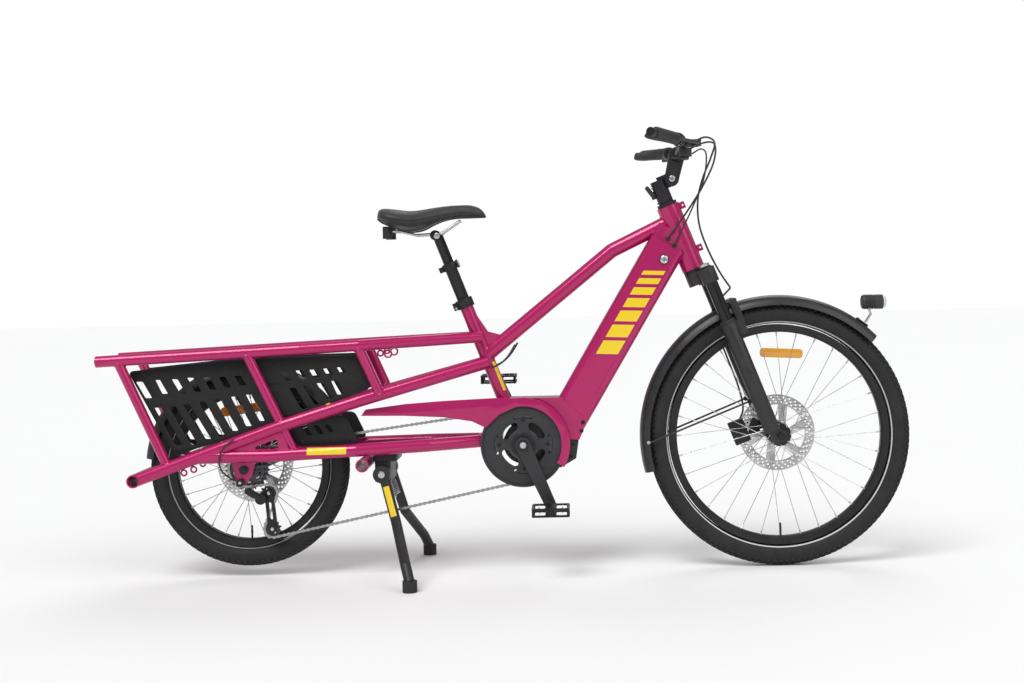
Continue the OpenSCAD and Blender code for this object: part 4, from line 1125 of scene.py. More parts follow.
class BIKE_OT_fenders(bpy.types.Operator):
    """Front and rear fenders with rolled edges, stays and their screws"""

    bl_idname = "bike.fenders"
    bl_label = "Fenders"

    def execute(self, context):
        front = coloured(fender_mesh("front_fender_skin", FRONT, FRONT_R + 0.021, 0.034, 44, 195, 120),
                         "fender_black")
        runs = []
        heads = []
        for s in (-1, 1):
            fork = on_steerer(-2, s * 48, 112)
            tail = Vector((FRONT.x - 0.344, s * 0.0365, FRONT.z - 0.016))
            runs.append([fork, fork.lerp(tail, 0.5), tail])
            heads.append((tail + Vector((0.004, s * 0.0015, 0.004)), (0, s, 0), 0.0045, 0.003))
            heads.append((on_steerer(0, s * 47, 112), (0, -s, 0), 0.006, 0.004))
        stays = wires(runs, 0.0025, "stand_black", 12)
        lugs = []
        for s in (-1, 1):
            start = on_steerer(0, s * 41, 112)
            lugs.append(coloured(turned_about(
                "stay_lug", [(0, 0), (0.0052, 0), (0.006, 0.0008), (0.006, 0.0092), (0.0052, 0.010), (0, 0.010)],
                start, (0, s, 0), 24), "black_alloy"))
        piece("front_fender_set", joined(
            "front_fender_set", [front, stays, *lugs, screws(heads)]), "lower_fork",
            ["front_fender"])
        rear = coloured(fender_mesh("rear_fender_skin", REAR, REAR_R + 0.013, 0.034, 28, 174, 110), "fender_black")
        piece("rear_fender_skin", rear, "frame", ["rear_fender"])
        return {"FINISHED"}


# ------------------------------------------------------------------ wheels


def tyre_mesh(name, centre, outer, width, bead, lug, look):
    """A carcass with bead lips, and rows of tread lugs round it."""
    middle = outer - width / 2
    r = width / 2 - lug
    last = math.acos((bead - middle) / (width / 2)) - 0.03
    section = []
    for i in range(29):
        a = -last + 2 * last * i / 28
        section.append((middle + r * math.cos(a), r * math.sin(a)))
    for i in range(15):
        a = last - 2 * last * i / 14
        section.append((middle + (r - 0.0025) * math.cos(a), (r - 0.0025) * math.sin(a)))
    carcass = coloured(revolved(name, section, centre, 168), look)
    block = []
    for z, s in ((-0.0012, 1.0), (lug * 0.75, 0.96), (lug, 0.84)):
        block.append([Vector((x * s, y * s, z)) for x, y in
                      ((-0.5, -0.32), (-0.32, -0.5), (0.32, -0.5), (0.5, -0.32),
                       (0.5, 0.32), (0.32, 0.5), (-0.32, 0.5), (-0.5, 0.32))])
    pattern = loft("lug", block, sharp=25)
    places = []
    rows = ((-54, 7.5, 9.5, 0.5), (-33, 8.5, 11.5, 0.0), (-11, 8.2, 13.0, 0.5), (11, 8.2, 13.0, 0.0),
            (33, 8.5, 11.5, 0.5), (54, 7.5, 9.5, 0.0))
    count = round(2 * math.pi * outer / 0.0165)
    for row, across, around, shift in rows:
        tilt = math.radians(row)
        for i in range(count):
            a = 2 * math.pi * (i + shift) / count
            reach = middle + r * math.cos(tilt)
            point = Vector((centre.x + reach * math.cos(a), centre.y + r * math.sin(tilt),
                            centre.z + reach * math.sin(a)))
            up = Vector((math.cos(a) * math.cos(tilt), math.sin(tilt), math.sin(a) * math.cos(tilt)))
            ahead = Vector((-math.sin(a), 0, math.cos(a)))
            side = up.cross(ahead)
            skew = math.radians(18 if row > 0 else -18) if abs(row) < 40 else 0
            ahead, side = ahead * math.cos(skew) + side * math.sin(skew), side * math.cos(skew) - ahead * math.sin(skew)
            turn = Matrix((ahead, side, up)).transposed().to_euler()
            places.append((point, turn, (around * MM, across * MM, 1.0)))
    return joined(name, [carcass, copies(pattern, places, look)])


def spoke_ends(centre, bead, flange_r, flange_y, count):
    for i in range(count):
        side = 1 if i % 2 == 0 else -1
        turn = 1 if (i // 2) % 2 == 0 else -1
        a = 2 * math.pi * i / count
        b = a - turn * math.radians(52)
        y = (flange_y[1] if side > 0 else flange_y[0]) + side * turn * 1.6
        hub = centre + Vector((flange_r * math.cos(b), y, flange_r * math.sin(b))) * MM
        end = bead - 20 * MM + 0.0004
        rim = centre + Vector((end * math.cos(a), side * 0.003, end * math.sin(a)))
        yield hub, rim, side


def spoke_mesh(centre, bead, flange_r, flange_y, tilt, reflector_r, look, settings):
    """Spokes with hooked heads and nipples, the valve, and a reflector clipped on."""
    runs, heads, nipples = [], [], []
    for hub, rim, side in spoke_ends(centre, bead, flange_r, flange_y, settings.spokes):
        runs.append([hub, hub.lerp(rim, 0.5), rim])
        heads.append((hub - (rim - hub).normalized() * 0.0004, facing((0, 1, 0)), (0.0019, 0.0019, 0.0019)))
        nipples.append((rim + (hub - rim).normalized() * 0.0115, facing(rim - hub), (0.0021, 0.0021, 0.012)))
    nipple = turned_about(
        "nipple", [(0, 0), (0.72, 0), (1.0, 0.1), (1.0, 0.8), (1.25, 0.86), (1.25, 1.0), (0, 1.0)],
        (0, 0, 0), (0, 0, 1), 10)
    ball = turned_about("spoke_head", [(0, -1), (0.7, -0.7), (1, 0), (0.7, 0.7), (0, 1)], (0, 0, 0), (0, 0, 1), 10)
    meshes = [wires(runs, settings.spoke, "spoke_steel", 8), copies(nipple, nipples, "bright_steel"),
              copies(ball, heads, "spoke_steel")]
    stem = [(0, 0), (0.0022, 0), (0.0026, 0.001), (0.0026, 0.011), (0.003, 0.0125), (0.003, 0.020), (0.0026, 0.0205),
            (0.0026, 0.034), (0, 0.034)]
    foot = centre - Vector((0, 0, bead - 0.0196 - 0.034))
    meshes.append(coloured(turned_about("valve", stem, foot, (0, 0, -1), 20), "rubber"))
    a = math.radians(tilt)
    out, across = Vector((math.cos(a), 0, math.sin(a))), Vector((-math.sin(a), 0, math.cos(a)))
    middle = centre + out * reflector_r * MM
    place = Matrix((across, out, Vector((0, -1, 0)))).transposed().to_4x4()
    if place.to_3x3().determinant() < 0:
        place = Matrix((-across, out, Vector((0, -1, 0)))).transposed().to_4x4()
    place.translation = middle + Vector((0, -0.005, 0))
    shape = soft_outline([(-56, -12), (56, -12), (56, 12), (-56, 12)], 11)
    meshes.append(coloured(flat_plate("reflector", shape, [], 0.0055, place, 0.001), look))
    back = soft_outline([(-50, -8.5), (50, -8.5), (50, 8.5), (-50, 8.5)], 7)
    place.translation = middle + Vector((0, 0.0, 0))
    meshes.append(coloured(flat_plate("reflector_back", back, [], 0.0040, place, 0.0008), "disc_black"))
    return joined("spokes", meshes)


def disc_outline(outer, inner, holes_r, centre_r):
    """A brake disc: drilled track, six curved arms and a bolt circle."""
    loops = [circle(centre_r, 48)]
    steps = 36
    for ring, (radius, size) in enumerate(holes_r):
        for i in range(steps):
            a = 2 * math.pi * (i + ring * 0.38) / steps
            loops.append(circle(size, 10, (radius * math.cos(a), radius * math.sin(a))))
    for arm in range(6):
        base = math.radians(60 * arm)
        points = []
        for t in range(9):
            a = base + math.radians(9 + 40 * t / 8)
            points.append((inner * math.cos(a + 0.30), inner * math.sin(a + 0.30)))
        for t in range(7):
            a = base + math.radians(43 - 24 * t / 6)
            points.append((0.0335 * math.cos(a), 0.0335 * math.sin(a)))
        loops.append(points)
    return circle(outer, 144), loops


def disc_mesh(centre, y, look):
    outline, holes = disc_outline(
        0.0998, 0.0735, ((0.0802, 0.0024), (0.0868, 0.0026), (0.0934, 0.0024)), 0.0195)
    plate = flat_plate("disc", outline, holes, 0.0019, upright(centre.x, y, centre.z), 0.0003)
    bolts = []
    for i in range(6):
        a = math.radians(60 * i + 12)
        bolts.append((Vector((centre.x + 0.0262 * math.cos(a), y + 0.0009, centre.z + 0.0262 * math.sin(a))),
                      (0, 1, 0), 0.0038, 0.0022))
    return joined("disc", [coloured(plate, look), screws(bolts)])


class BIKE_OT_wheels(bpy.types.Operator):
    """Both wheels: tyres with tread, rims, hubs, spokes, reflectors and brake discs"""

    bl_idname = "bike.wheels"
    bl_label = "Wheels"

    def execute(self, context):
        settings = context.scene.bike_wheels
        for word, centre, outer, body, flange, hub_y, tilt, far, look in (
                ("front", FRONT, FRONT_R, "front_wheel", 27, (-27, 27), 87, 210, "amber"),
                ("rear", REAR, REAR_R, "rear_wheel", 30, (-24, 36), 97, 150, "orange")):
            width = box_size(word + "_tyre").y
            bead = outer - width + 3 * MM
            piece(word + "_tyre_tread",
                  tyre_mesh(word + "_tyre_tread", centre, outer, width, bead, settings.lug, word + "_tyre"),
                  body, [word + "_tyre"])
            piece(word + "_spoke_set",
                  spoke_mesh(centre, bead, flange, hub_y, tilt, far, look, settings),
                  body, [word + "_spokes"])
            finished_node(word + "_rim", "rim_black")
            finished_node(word + "_hub", "black_alloy", 0.0005)
            y = box_centre(word + "_rotor").y
            piece(word + "_disc", disc_mesh(centre, y, word + "_disc_steel"), body, [word + "_rotor"])
        finished_node("rear_axle", "black_alloy", 0.0005)
        finished_node("front_axle", "black_alloy", 0.0005)
        return {"FINISHED"}


# ------------------------------------------------------------------ drive


RING_R = 46 * 0.0127 / 2 / math.pi
SPROCKET_R = 23 * 0.0127 / 2 / math.pi
JOCKEY_R = 11 * 0.0127 / 2 / math.pi
UPPER_JOCKEY = at_rear(56, -49, -64)
LOWER_JOCKEY = at_rear(64, -49, -156)


def chain_path():
    """The chain's centre line round the four wheels, as points and directions one link apart."""
    centres = [(BB.x, BB.z), (REAR.x, REAR.z), (UPPER_JOCKEY.x, UPPER_JOCKEY.z), (LOWER_JOCKEY.x, LOWER_JOCKEY.z)]
    radii, sense = [RING_R, SPROCKET_R, JOCKEY_R, JOCKEY_R], [1, 1, -1, 1]

    def run_angle(i):
        j = (i + 1) % 4
        dx, dz = centres[j][0] - centres[i][0], centres[j][1] - centres[i][1]
        return math.atan2(dz, dx) - math.asin((sense[j] * radii[j] - sense[i] * radii[i]) / math.hypot(dx, dz))

    line = []
    for i in range(4):
        start = run_angle((i + 3) % 4) - math.pi / 2 * sense[i]
        end = run_angle(i) - math.pi / 2 * sense[i]
        span = (sense[i] * (end - start)) % (2 * math.pi)
        for k in range(61):
            a = start + sense[i] * span * k / 60
            line.append(Vector((centres[i][0] + radii[i] * math.cos(a), 0, centres[i][1] + radii[i] * math.sin(a))))
    line.append(line[0])
    total = line_length(line)
    count = round(total / 0.0127 / 2) * 2
    step, out, walked, k = total / count, [], 0.0, 0
    for i in range(count):
        goal = i * step
        while walked + (line[k + 1] - line[k]).length < goal:
            walked += (line[k + 1] - line[k]).length
            k += 1
        out.append(line[k].lerp(line[k + 1], (goal - walked) / max((line[k + 1] - line[k]).length, 1e-9)))
    return out


def link_plate(y, thickness, waist, end):
    """One side plate of a link between pins at -0.5 and 0.5 pitch."""
    points = []
    for i in range(11):
        a = math.radians(-112 + 224 * i / 10)
        points.append((0.5 + end * math.cos(a), end * math.sin(a)))
    points.append((0.0, waist))
    for i in range(11):
        a = math.radians(68 + 224 * i / 10)
        points.append((-0.5 + end * math.cos(a), end * math.sin(a)))
    points.append((0.0, -waist))
    points = [(x * 0.0127, z * 0.0127) for x, z in points]
    return loft("plate", [[Vector((x, y - thickness / 2, z)) for x, z in points],
                          [Vector((x, y + thickness / 2, z)) for x, z in points]], sharp=30)


def pin_mesh(x, r, half):
    return turned_about("pin", [(0, -half), (r, -half), (r, half), (0, half)], (x, 0, 0), (0, 1, 0), 10)


class BIKE_OT_chain(bpy.types.Operator):
    """Roller chain with its links placed one pitch apart round the chainring, sprocket and pulleys"""

    bl_idname = "bike.chain"
    bl_label = "Chain"

    def execute(self, context):
        pins = chain_path()
        places = {0: [], 1: []}
        for i, p in enumerate(pins):
            q = pins[(i + 1) % len(pins)]
            middle, ahead = (p + q) / 2 + Vector((0, CHAIN_Y, 0)), (q - p).normalized()
            across = Vector((0, 1, 0))
            turn = Matrix((ahead, across, ahead.cross(across))).transposed().to_euler()
            places[i % 2].append((middle, turn, ((q - p).length / 0.0127, 1.0, 1.0)))
        inner = joined("inner", [link_plate(-0.0017, 0.0009, 0.17, 0.31), link_plate(0.0017, 0.0009, 0.17, 0.31),
                                 pin_mesh(-0.00635, 0.0037, 0.0012), pin_mesh(0.00635, 0.0037, 0.0012)])
        outer = joined("outer", [link_plate(-0.0028, 0.0009, 0.18, 0.31), link_plate(0.0028, 0.0009, 0.18, 0.31),
                                 pin_mesh(-0.00635, 0.0018, 0.0034), pin_mesh(0.00635, 0.0018, 0.0034)])
        mesh = joined("chain_links", [copies(inner, places[0], "chain_steel"), copies(outer, places[1], "chain_steel")])
        piece("chain_links", mesh, "frame", ["chain"])
        return {"FINISHED"}


def cog_outline(teeth, root_extra=0.0, deep=0.0038, high=0.0026):
    """Sprocket teeth for half-inch chain about the origin."""
    r = teeth * 0.0127 / 2 / math.pi
    out = []
    for i in range(teeth):
        base = 2 * math.pi * i / teeth
        step = 2 * math.pi / teeth
        for share, reach in ((-0.27, -deep * 0.55), (-0.13, -deep), (0.13, -deep), (0.27, -deep * 0.55),
                             (0.42, high * 0.85), (0.5, high), (0.58, high * 0.85)):
            a = base + step * share
            out.append(((r + reach) * math.cos(a), (r + reach) * math.sin(a)))
    return out


def window(inner, outer, start, end, steps=8, corner=0.12):
    """A window between two radii and two angles in degrees, with softened corners."""
    a, b = math.radians(start), math.radians(end)
    ease = (b - a) * corner
    band = (outer - inner) * 0.22
    points = [(outer - band, a)]
    points += [(outer, a + ease + (b - a - 2 * ease) * i / steps) for i in range(steps + 1)]
    points += [(outer - band, b), (inner + band, b)]
    points += [(inner, b - ease - (b - a - 2 * ease) * i / steps) for i in range(steps + 1)]
    points.append((inner + band, a))
    return [(r * math.cos(t), r * math.sin(t)) for r, t in points]


class BIKE_OT_drive(bpy.types.Operator):
    """Chainring with its guard disc, cranks, pedals, cassette, motor and derailleur"""

    bl_idname = "bike.drive"
    bl_label = "Drive"

    def execute(self, context):
        self.chainring()
        self.cassette()
        self.motor()
        self.pedals()
        self.derailleur()
        return {"FINISHED"}

    def chainring(self):
        place = upright(BB.x, CHAIN_Y, BB.z)
        holes = [circle(0.0125, 48)]
        for i in range(4):
            holes.append(window(0.040, 0.078, 45 + 90 * i - 29, 45 + 90 * i + 29))
        ring = flat_plate("ring", cog_outline(46), holes, 0.0024, place, 0.0004)
        windows = [circle(0.0125, 48)]
        for i in range(4):
            windows.append(window(0.036, 0.060, 45 + 90 * i - 30, 45 + 90 * i + 30))
            windows.append(window(0.066, 0.0755, 90 * i - 20, 90 * i + 20, corner=0.3))
        guard = flat_plate(
            "guard", circle(0.110, 144), windows, 0.0026, upright(BB.x, CHAIN_Y - 0.0063, BB.z), 0.0009)
        rim = revolved("guard_rim", [(0.1042, -0.0046), (0.1096, -0.0036), (0.1099, -0.0015), (0.1096, 0.0006),
                                     (0.1042, 0.0012)], Vector((BB.x, CHAIN_Y - 0.0058, BB.z)), 144)
        boss = revolved("boss", [(0.0125, -0.0115), (0.026, -0.0115), (0.0295, -0.0100), (0.0300, -0.0012),
                                 (0.0125, -0.0012)], Vector((BB.x, CHAIN_Y, BB.z)), 64)
        bolts, barrels = [], []
        for i in range(4):
            a = math.radians(90 * i)
            foot = Vector((BB.x + 0.0625 * math.cos(a), CHAIN_Y - 0.0074, BB.z + 0.0625 * math.sin(a)))
            bolts.append((foot, (0, -1, 0), 0.0048, 0.0022))
            barrels.append(coloured(turned_about(
                "barrel", [(0, 0), (0.0056, 0), (0.0056, 0.0058), (0, 0.0058)], foot, (0, 1, 0), 24), "black_alloy"))
        mesh = joined("chainring_set", [
            coloured(ring, "cog_steel"), coloured(guard, "disc_black"), coloured(rim, "disc_black"),
            coloured(boss, "black_alloy"), *barrels, screws(bolts, "black_alloy")])
        piece("chainring_set", mesh, BODY_OF["chainring"], ["chainring"])
        finished_node("crank_arms", "disc_black", 0.0016)
        caps = []
        for s in (-1, 1):
            start = Vector((BB.x, s * 0.0818, BB.z))
            caps.append(coloured(turned_about(
                "crank_cap", [(0, 0.0012), (0.0042, 0.0012), (0.0046, 0.0004), (0.0078, 0.0004), (0.0086, -0.0006),
                              (0.0086, -0.003), (0, -0.003)], start, (0, s, 0), 40), "bright_steel"))
            caps.append(coloured(revolved("crank_ring", [
                (0.0118, -0.0014), (0.0128, 0.0004), (0.0142, 0.0004), (0.0152, -0.0014)],
                Vector((BB.x, s * 0.0820, BB.z)), 48), "black_alloy"))
        piece("crank_caps", joined("crank_caps", caps), BODY_OF["crank_arms"])

    def cassette(self):
        meshes = []
        for i in range(8):
            y = CHAIN_Y + (14 - 4 * i) * MM
            teeth = 23 if i == 3 else max(round((56 - 5.2 * i + 1.5) * MM * 2 * math.pi / 0.0127), 11)
            radius = teeth * 0.0127 / 2 / math.pi
            holes = [circle(0.0172, 40)]
            if radius > 0.034:
                holes += [window(0.021, radius - 0.0085, 60 * k + 8, 60 * k + 50) for k in range(6)]
            high = 0.0022 if i != 3 else 0.0024
            meshes.append(coloured(flat_plate(
                "cog", cog_outline(teeth, 0, 0.0038, high), holes, 0.0018, upright(REAR.x, y, REAR.z), 0.0003),
                "cog_steel"))
        meshes.append(coloured(revolved("freehub", [
            (0.0171, CHAIN_Y - 0.017), (0.0188, CHAIN_Y - 0.017), (0.0188, CHAIN_Y + 0.016),
            (0.0171, CHAIN_Y + 0.016)], Vector((REAR.x, 0, REAR.z)), 64), "cog_steel"))
        meshes.append(coloured(revolved("lock_ring", [
            (0.0172, CHAIN_Y - 0.0188), (0.0205, CHAIN_Y - 0.0182), (0.0205, CHAIN_Y - 0.0164),
            (0.0172, CHAIN_Y - 0.0164)], Vector((REAR.x, 0, REAR.z)), 48), "bright_steel"))
        piece("cassette_cogs", joined("cassette_cogs", meshes), BODY_OF["cassette"], ["cassette"])

    def motor(self):
        finished_node("motor_unit", "motor_black", 0.0012)
        y = box_size("motor_unit").y
        heads = []
        for x, z in ((0, -46), (40, -50), (90, -54), (122, -36), (128, -4), (-34, -30), (-42, 10)):
            for s in (-1, 1):
                heads.append((Vector((BB.x + x * MM, s * 0.0356, BB.z + z * MM)), (0, s, 0), 0.0042, 0.0028))
        for x, z in ((-70, 8), (154, 52), (150, 30), (-60, 100)):
            for s in (-1, 1):
                heads.append((Vector((BB.x + x * MM, s * 0.0399, BB.z + z * MM)), (0, s, 0), 0.0052, 0.003))
        piece("motor_screws", screws(heads, "black_alloy"), "frame")

    def pedals(self):
        for side, node in ((-1, "pedal_right"), (1, "pedal_left")):
            low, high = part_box(node)
            mid = Vector(((low.x + high.x) / 2, 0, (low.z + high.z) / 2))
            y_in = side * 0.096
            y_mid = side * 0.144
            flat = Matrix(((1, 0, 0, mid.x), (0, 1, 0, y_mid), (0, 0, 1, mid.z), (0, 0, 0, 1)))
            holes = []
            for sx in (-1, 1):
                holes.append(soft_outline([(sx * 14 - (0 if sx > 0 else 26), -37), (sx * 14 + (26 if sx > 0 else 0), -37),
                                           (sx * 14 + (26 if sx > 0 else 0), 37), (sx * 14 - (0 if sx > 0 else 26), 37)], 6))
            outline = soft_outline([(-47.5, -47.5), (47.5, -47.5), (47.5, 47.5), (-47.5, 47.5)], 9)
            plates = []
            for dz in (-0.0085, 0.0085):
                flat.translation = Vector((mid.x, y_mid, mid.z + dz))
                plates.append(coloured(flat_plate("cage", outline, holes, 0.0045, flat.copy(), 0.0008), "black_alloy"))
            barrel = turned_about(
                "barrel", [(0, 0), (0.0095, 0), (0.0115, 0.003), (0.0095, 0.02), (0.009, 0.07), (0.0105, 0.085),
                           (0.0105, 0.0925), (0.008, 0.0945), (0, 0.0945)], (mid.x, y_in, mid.z), (0, side, 0), 32)
            spindle = turned_about(
                "spindle", [(0, 0), (0.0066, 0), (0.0066, 0.012), (0.0085, 0.0125), (0.0085, 0.018), (0.0066, 0.0185),
                            (0.0066, 0.034), (0, 0.034)], (mid.x, side * 0.0665, mid.z), (0, side, 0), 28)
            pins = []
            for x in (-43, -29, 29, 43):
                for y in (-40, -24, 24, 40):
                    for s in (-1, 1):
                        pins.append((Vector((mid.x + x * MM, y_mid + y * MM, mid.z + s * 0.0106)), (0, 0, s), 0.0016,
                                     0.0014))
            posts = []
            for x in (-43.5, 0, 43.5):
                for y in (-43.5, 43.5):
                    posts.append(coloured(turned_about(
                        "post", [(0, 0), (0.0035, 0), (0.0035, 0.014), (0, 0.014)],
                        (mid.x + x * MM, y_mid + y * MM, mid.z - 0.007), (0, 0, 1), 16), "black_alloy"))
            bars = []
            for s in (-1, 1):
                shape = soft_outline([(-30, -3.2), (30, -3.2), (30, 3.2), (-30, 3.2)], 3)
                turn = Matrix(((0, 0, s, mid.x + s * 0.0455), (s, 0, 0, y_mid), (0, 1, 0, mid.z), (0, 0, 0, 1)))
                bars.append(coloured(flat_plate("pedal_reflector", shape, [], 0.003, turn, 0.0005), "amber"))
            piece(node + "_cage", joined(node + "_cage", [
                *plates, coloured(barrel, "black_alloy"), coloured(spindle, "bright_steel"), *posts, *bars,
                screws(pins)]), BODY_OF[node], [node])

    def derailleur(self):
        finished_node("derailleur_body", "black_alloy", 0.0012)
        finished_node("derailleur_mount", "black_alloy", 0.001)
        upper, lower, pivot = UPPER_JOCKEY, LOWER_JOCKEY, at_rear(38, -49, -77)
        meshes = []
        for s in (-1, 1):
            outline = capsule(upper, lower, 11)
            place = upright(0, CHAIN_Y + s * 0.007, 0)
            holes = [capsule(upper.lerp(lower, 0.3), upper.lerp(lower, 0.7), 4.5)]
            meshes.append(coloured(flat_plate("cage_plate", outline, holes, 0.002, place, 0.0005), "black_alloy"))
        meshes.append(coloured(flat_plate(
            "cage_arm", capsule(upper, pivot, 10.5), [], 0.0019, upright(0, CHAIN_Y - 0.00701, 0), 0.0005),
            "black_alloy"))
        heads = []
        for p in (upper, lower):
            meshes.append(coloured(turned_about(
                "pulley_pin", [(0, -0.007), (0.0038, -0.007), (0.0038, 0.007), (0, 0.007)], p, (0, 1, 0), 20),
                "bright_steel"))
            heads.append((p + Vector((0, -0.008, 0)), (0, -1, 0), 0.0042, 0.0018))
        meshes.append(coloured(turned_about(
            "cage_pin", [(0, 0.008), (0.006, 0.008), (0.006, 0.018), (0, 0.018)], pivot, (0, -1, 0), 24),
            "black_alloy"))
        meshes.append(screws(heads))
        piece("derailleur_cage_plates", joined("derailleur_cage_plates", meshes), BODY_OF["derailleur_cage"],
              ["derailleur_cage"])
        for node, centre in (("jockey_upper", upper), ("jockey_lower", lower)):
            holes = [circle(0.0041, 24)] + [circle(0.0026, 12, (0.0105 * math.cos(a), 0.0105 * math.sin(a)))
                                            for a in (2 * math.pi * i / 6 for i in range(6))]
            wheel = flat_plate("pulley", cog_outline(11, 0, 0.0042, 0.0012), holes, 0.0022,
                               upright(centre.x, CHAIN_Y, centre.z), 0.0004)
            hub = revolved("pulley_hub", [(0.0041, -0.0024), (0.0075, -0.0024), (0.0075, 0.0024), (0.0041, 0.0024)],
                           Vector((centre.x, CHAIN_Y, centre.z)), 32)
            piece(node + "_wheel", joined(node + "_wheel", [coloured(wheel, "disc_black"), coloured(hub, "disc_black")]),
                  BODY_OF[node], [node])
        bolt = at_rear(-8, -97.2, -31)
        dress = turned_about(
            "hanger_bolt", [(0, 0), (0.0036, 0), (0.004, -0.0006), (0.0072, -0.0006), (0.008, -0.0014),
                            (0.008, -0.004), (0, -0.004)], bolt, (0, -1, 0), 32)
        piece("hanger_bolt", coloured(dress, "bright_steel"), "frame")


def capsule(a, b, r, steps=10):
    """A stadium outline round two points of the side plane, in metres; r in millimetres."""
    base = math.atan2(b.z - a.z, b.x - a.x)
    out = []
    for centre, start in ((b, base - math.pi / 2), (a, base + math.pi / 2)):
        for i in range(steps + 1):
            t = start + math.pi * i / steps
            out.append((centre.x + r * MM * math.cos(t), centre.z + r * MM * math.sin(t)))
    return out


# ------------------------------------------------------------------ stand, brakes and motor side


class BIKE_OT_stand(bpy.types.Operator):
    """Two-leg stand with its bracket, coil springs, feet and a plain yellow label"""

    bl_idname = "bike.stand"
    bl_label = "Kickstand"

    def execute(self, context):
        finished_node("kickstand_bracket", "stand_black", 0.0012)
        finished_node("kickstand_legs", "stand_black")
        finished_node("kickstand_feet", "rubber", 0.009)
        pivot = at_rear(351, 0, -18)
        coils, labels, heads = [], [], []
        for s in (-1, 1):
            start = pivot + Vector((0.010, s * 0.040, -0.022))
            end = pivot + Vector((0.026, s * 0.040, -0.066))
            along = (end - start).normalized()
            u, v = along.orthogonal().normalized(), along.cross(along.orthogonal().normalized())
            turns, n = 9, 126
            coils.append([start + (end - start) * (i / n) + (u * math.cos(2 * math.pi * turns * i / n)
                                                          + v * math.sin(2 * math.pi * turns * i / n)) * 0.0062
                          for i in range(n + 1)])
            heads.append((pivot + Vector((0, s * 0.0918, 0)), (0, s, 0), 0.0085, 0.0028))
            top = pivot + Vector((0.004, s * 0.078, -0.004))
            knee = pivot + Vector((0.036, s * 0.100, -0.120))
            a, b = top.lerp(knee, 0.24), top.lerp(knee, 0.88)
            d = (b - a).normalized()
            out = (Vector((0, s, 0)) - d * d.dot(Vector((0, s, 0)))).normalized()
            side = d.cross(out)
            bands = []
            for p in (a, b):
                bands.append([p + (out * math.cos(t) + side * math.sin(t)) * r
                              for t, r in [(math.radians(-34 + 8.5 * k), 0.01345) for k in range(9)]
                              + [(math.radians(34 - 8.5 * k), 0.0128) for k in range(9)]])
            labels.append(coloured(loft("label", bands), "yellow"))
        piece("stand_springs", wires(coils, 0.0011, "bright_steel", 8), "frame")
        piece("stand_labels", joined("stand_labels", labels), BODY_OF["kickstand_legs"])
        piece("stand_bolts", screws(heads), BODY_OF["kickstand_legs"])
        return {"FINISHED"}


# ------------------------------------------------------------------ fork


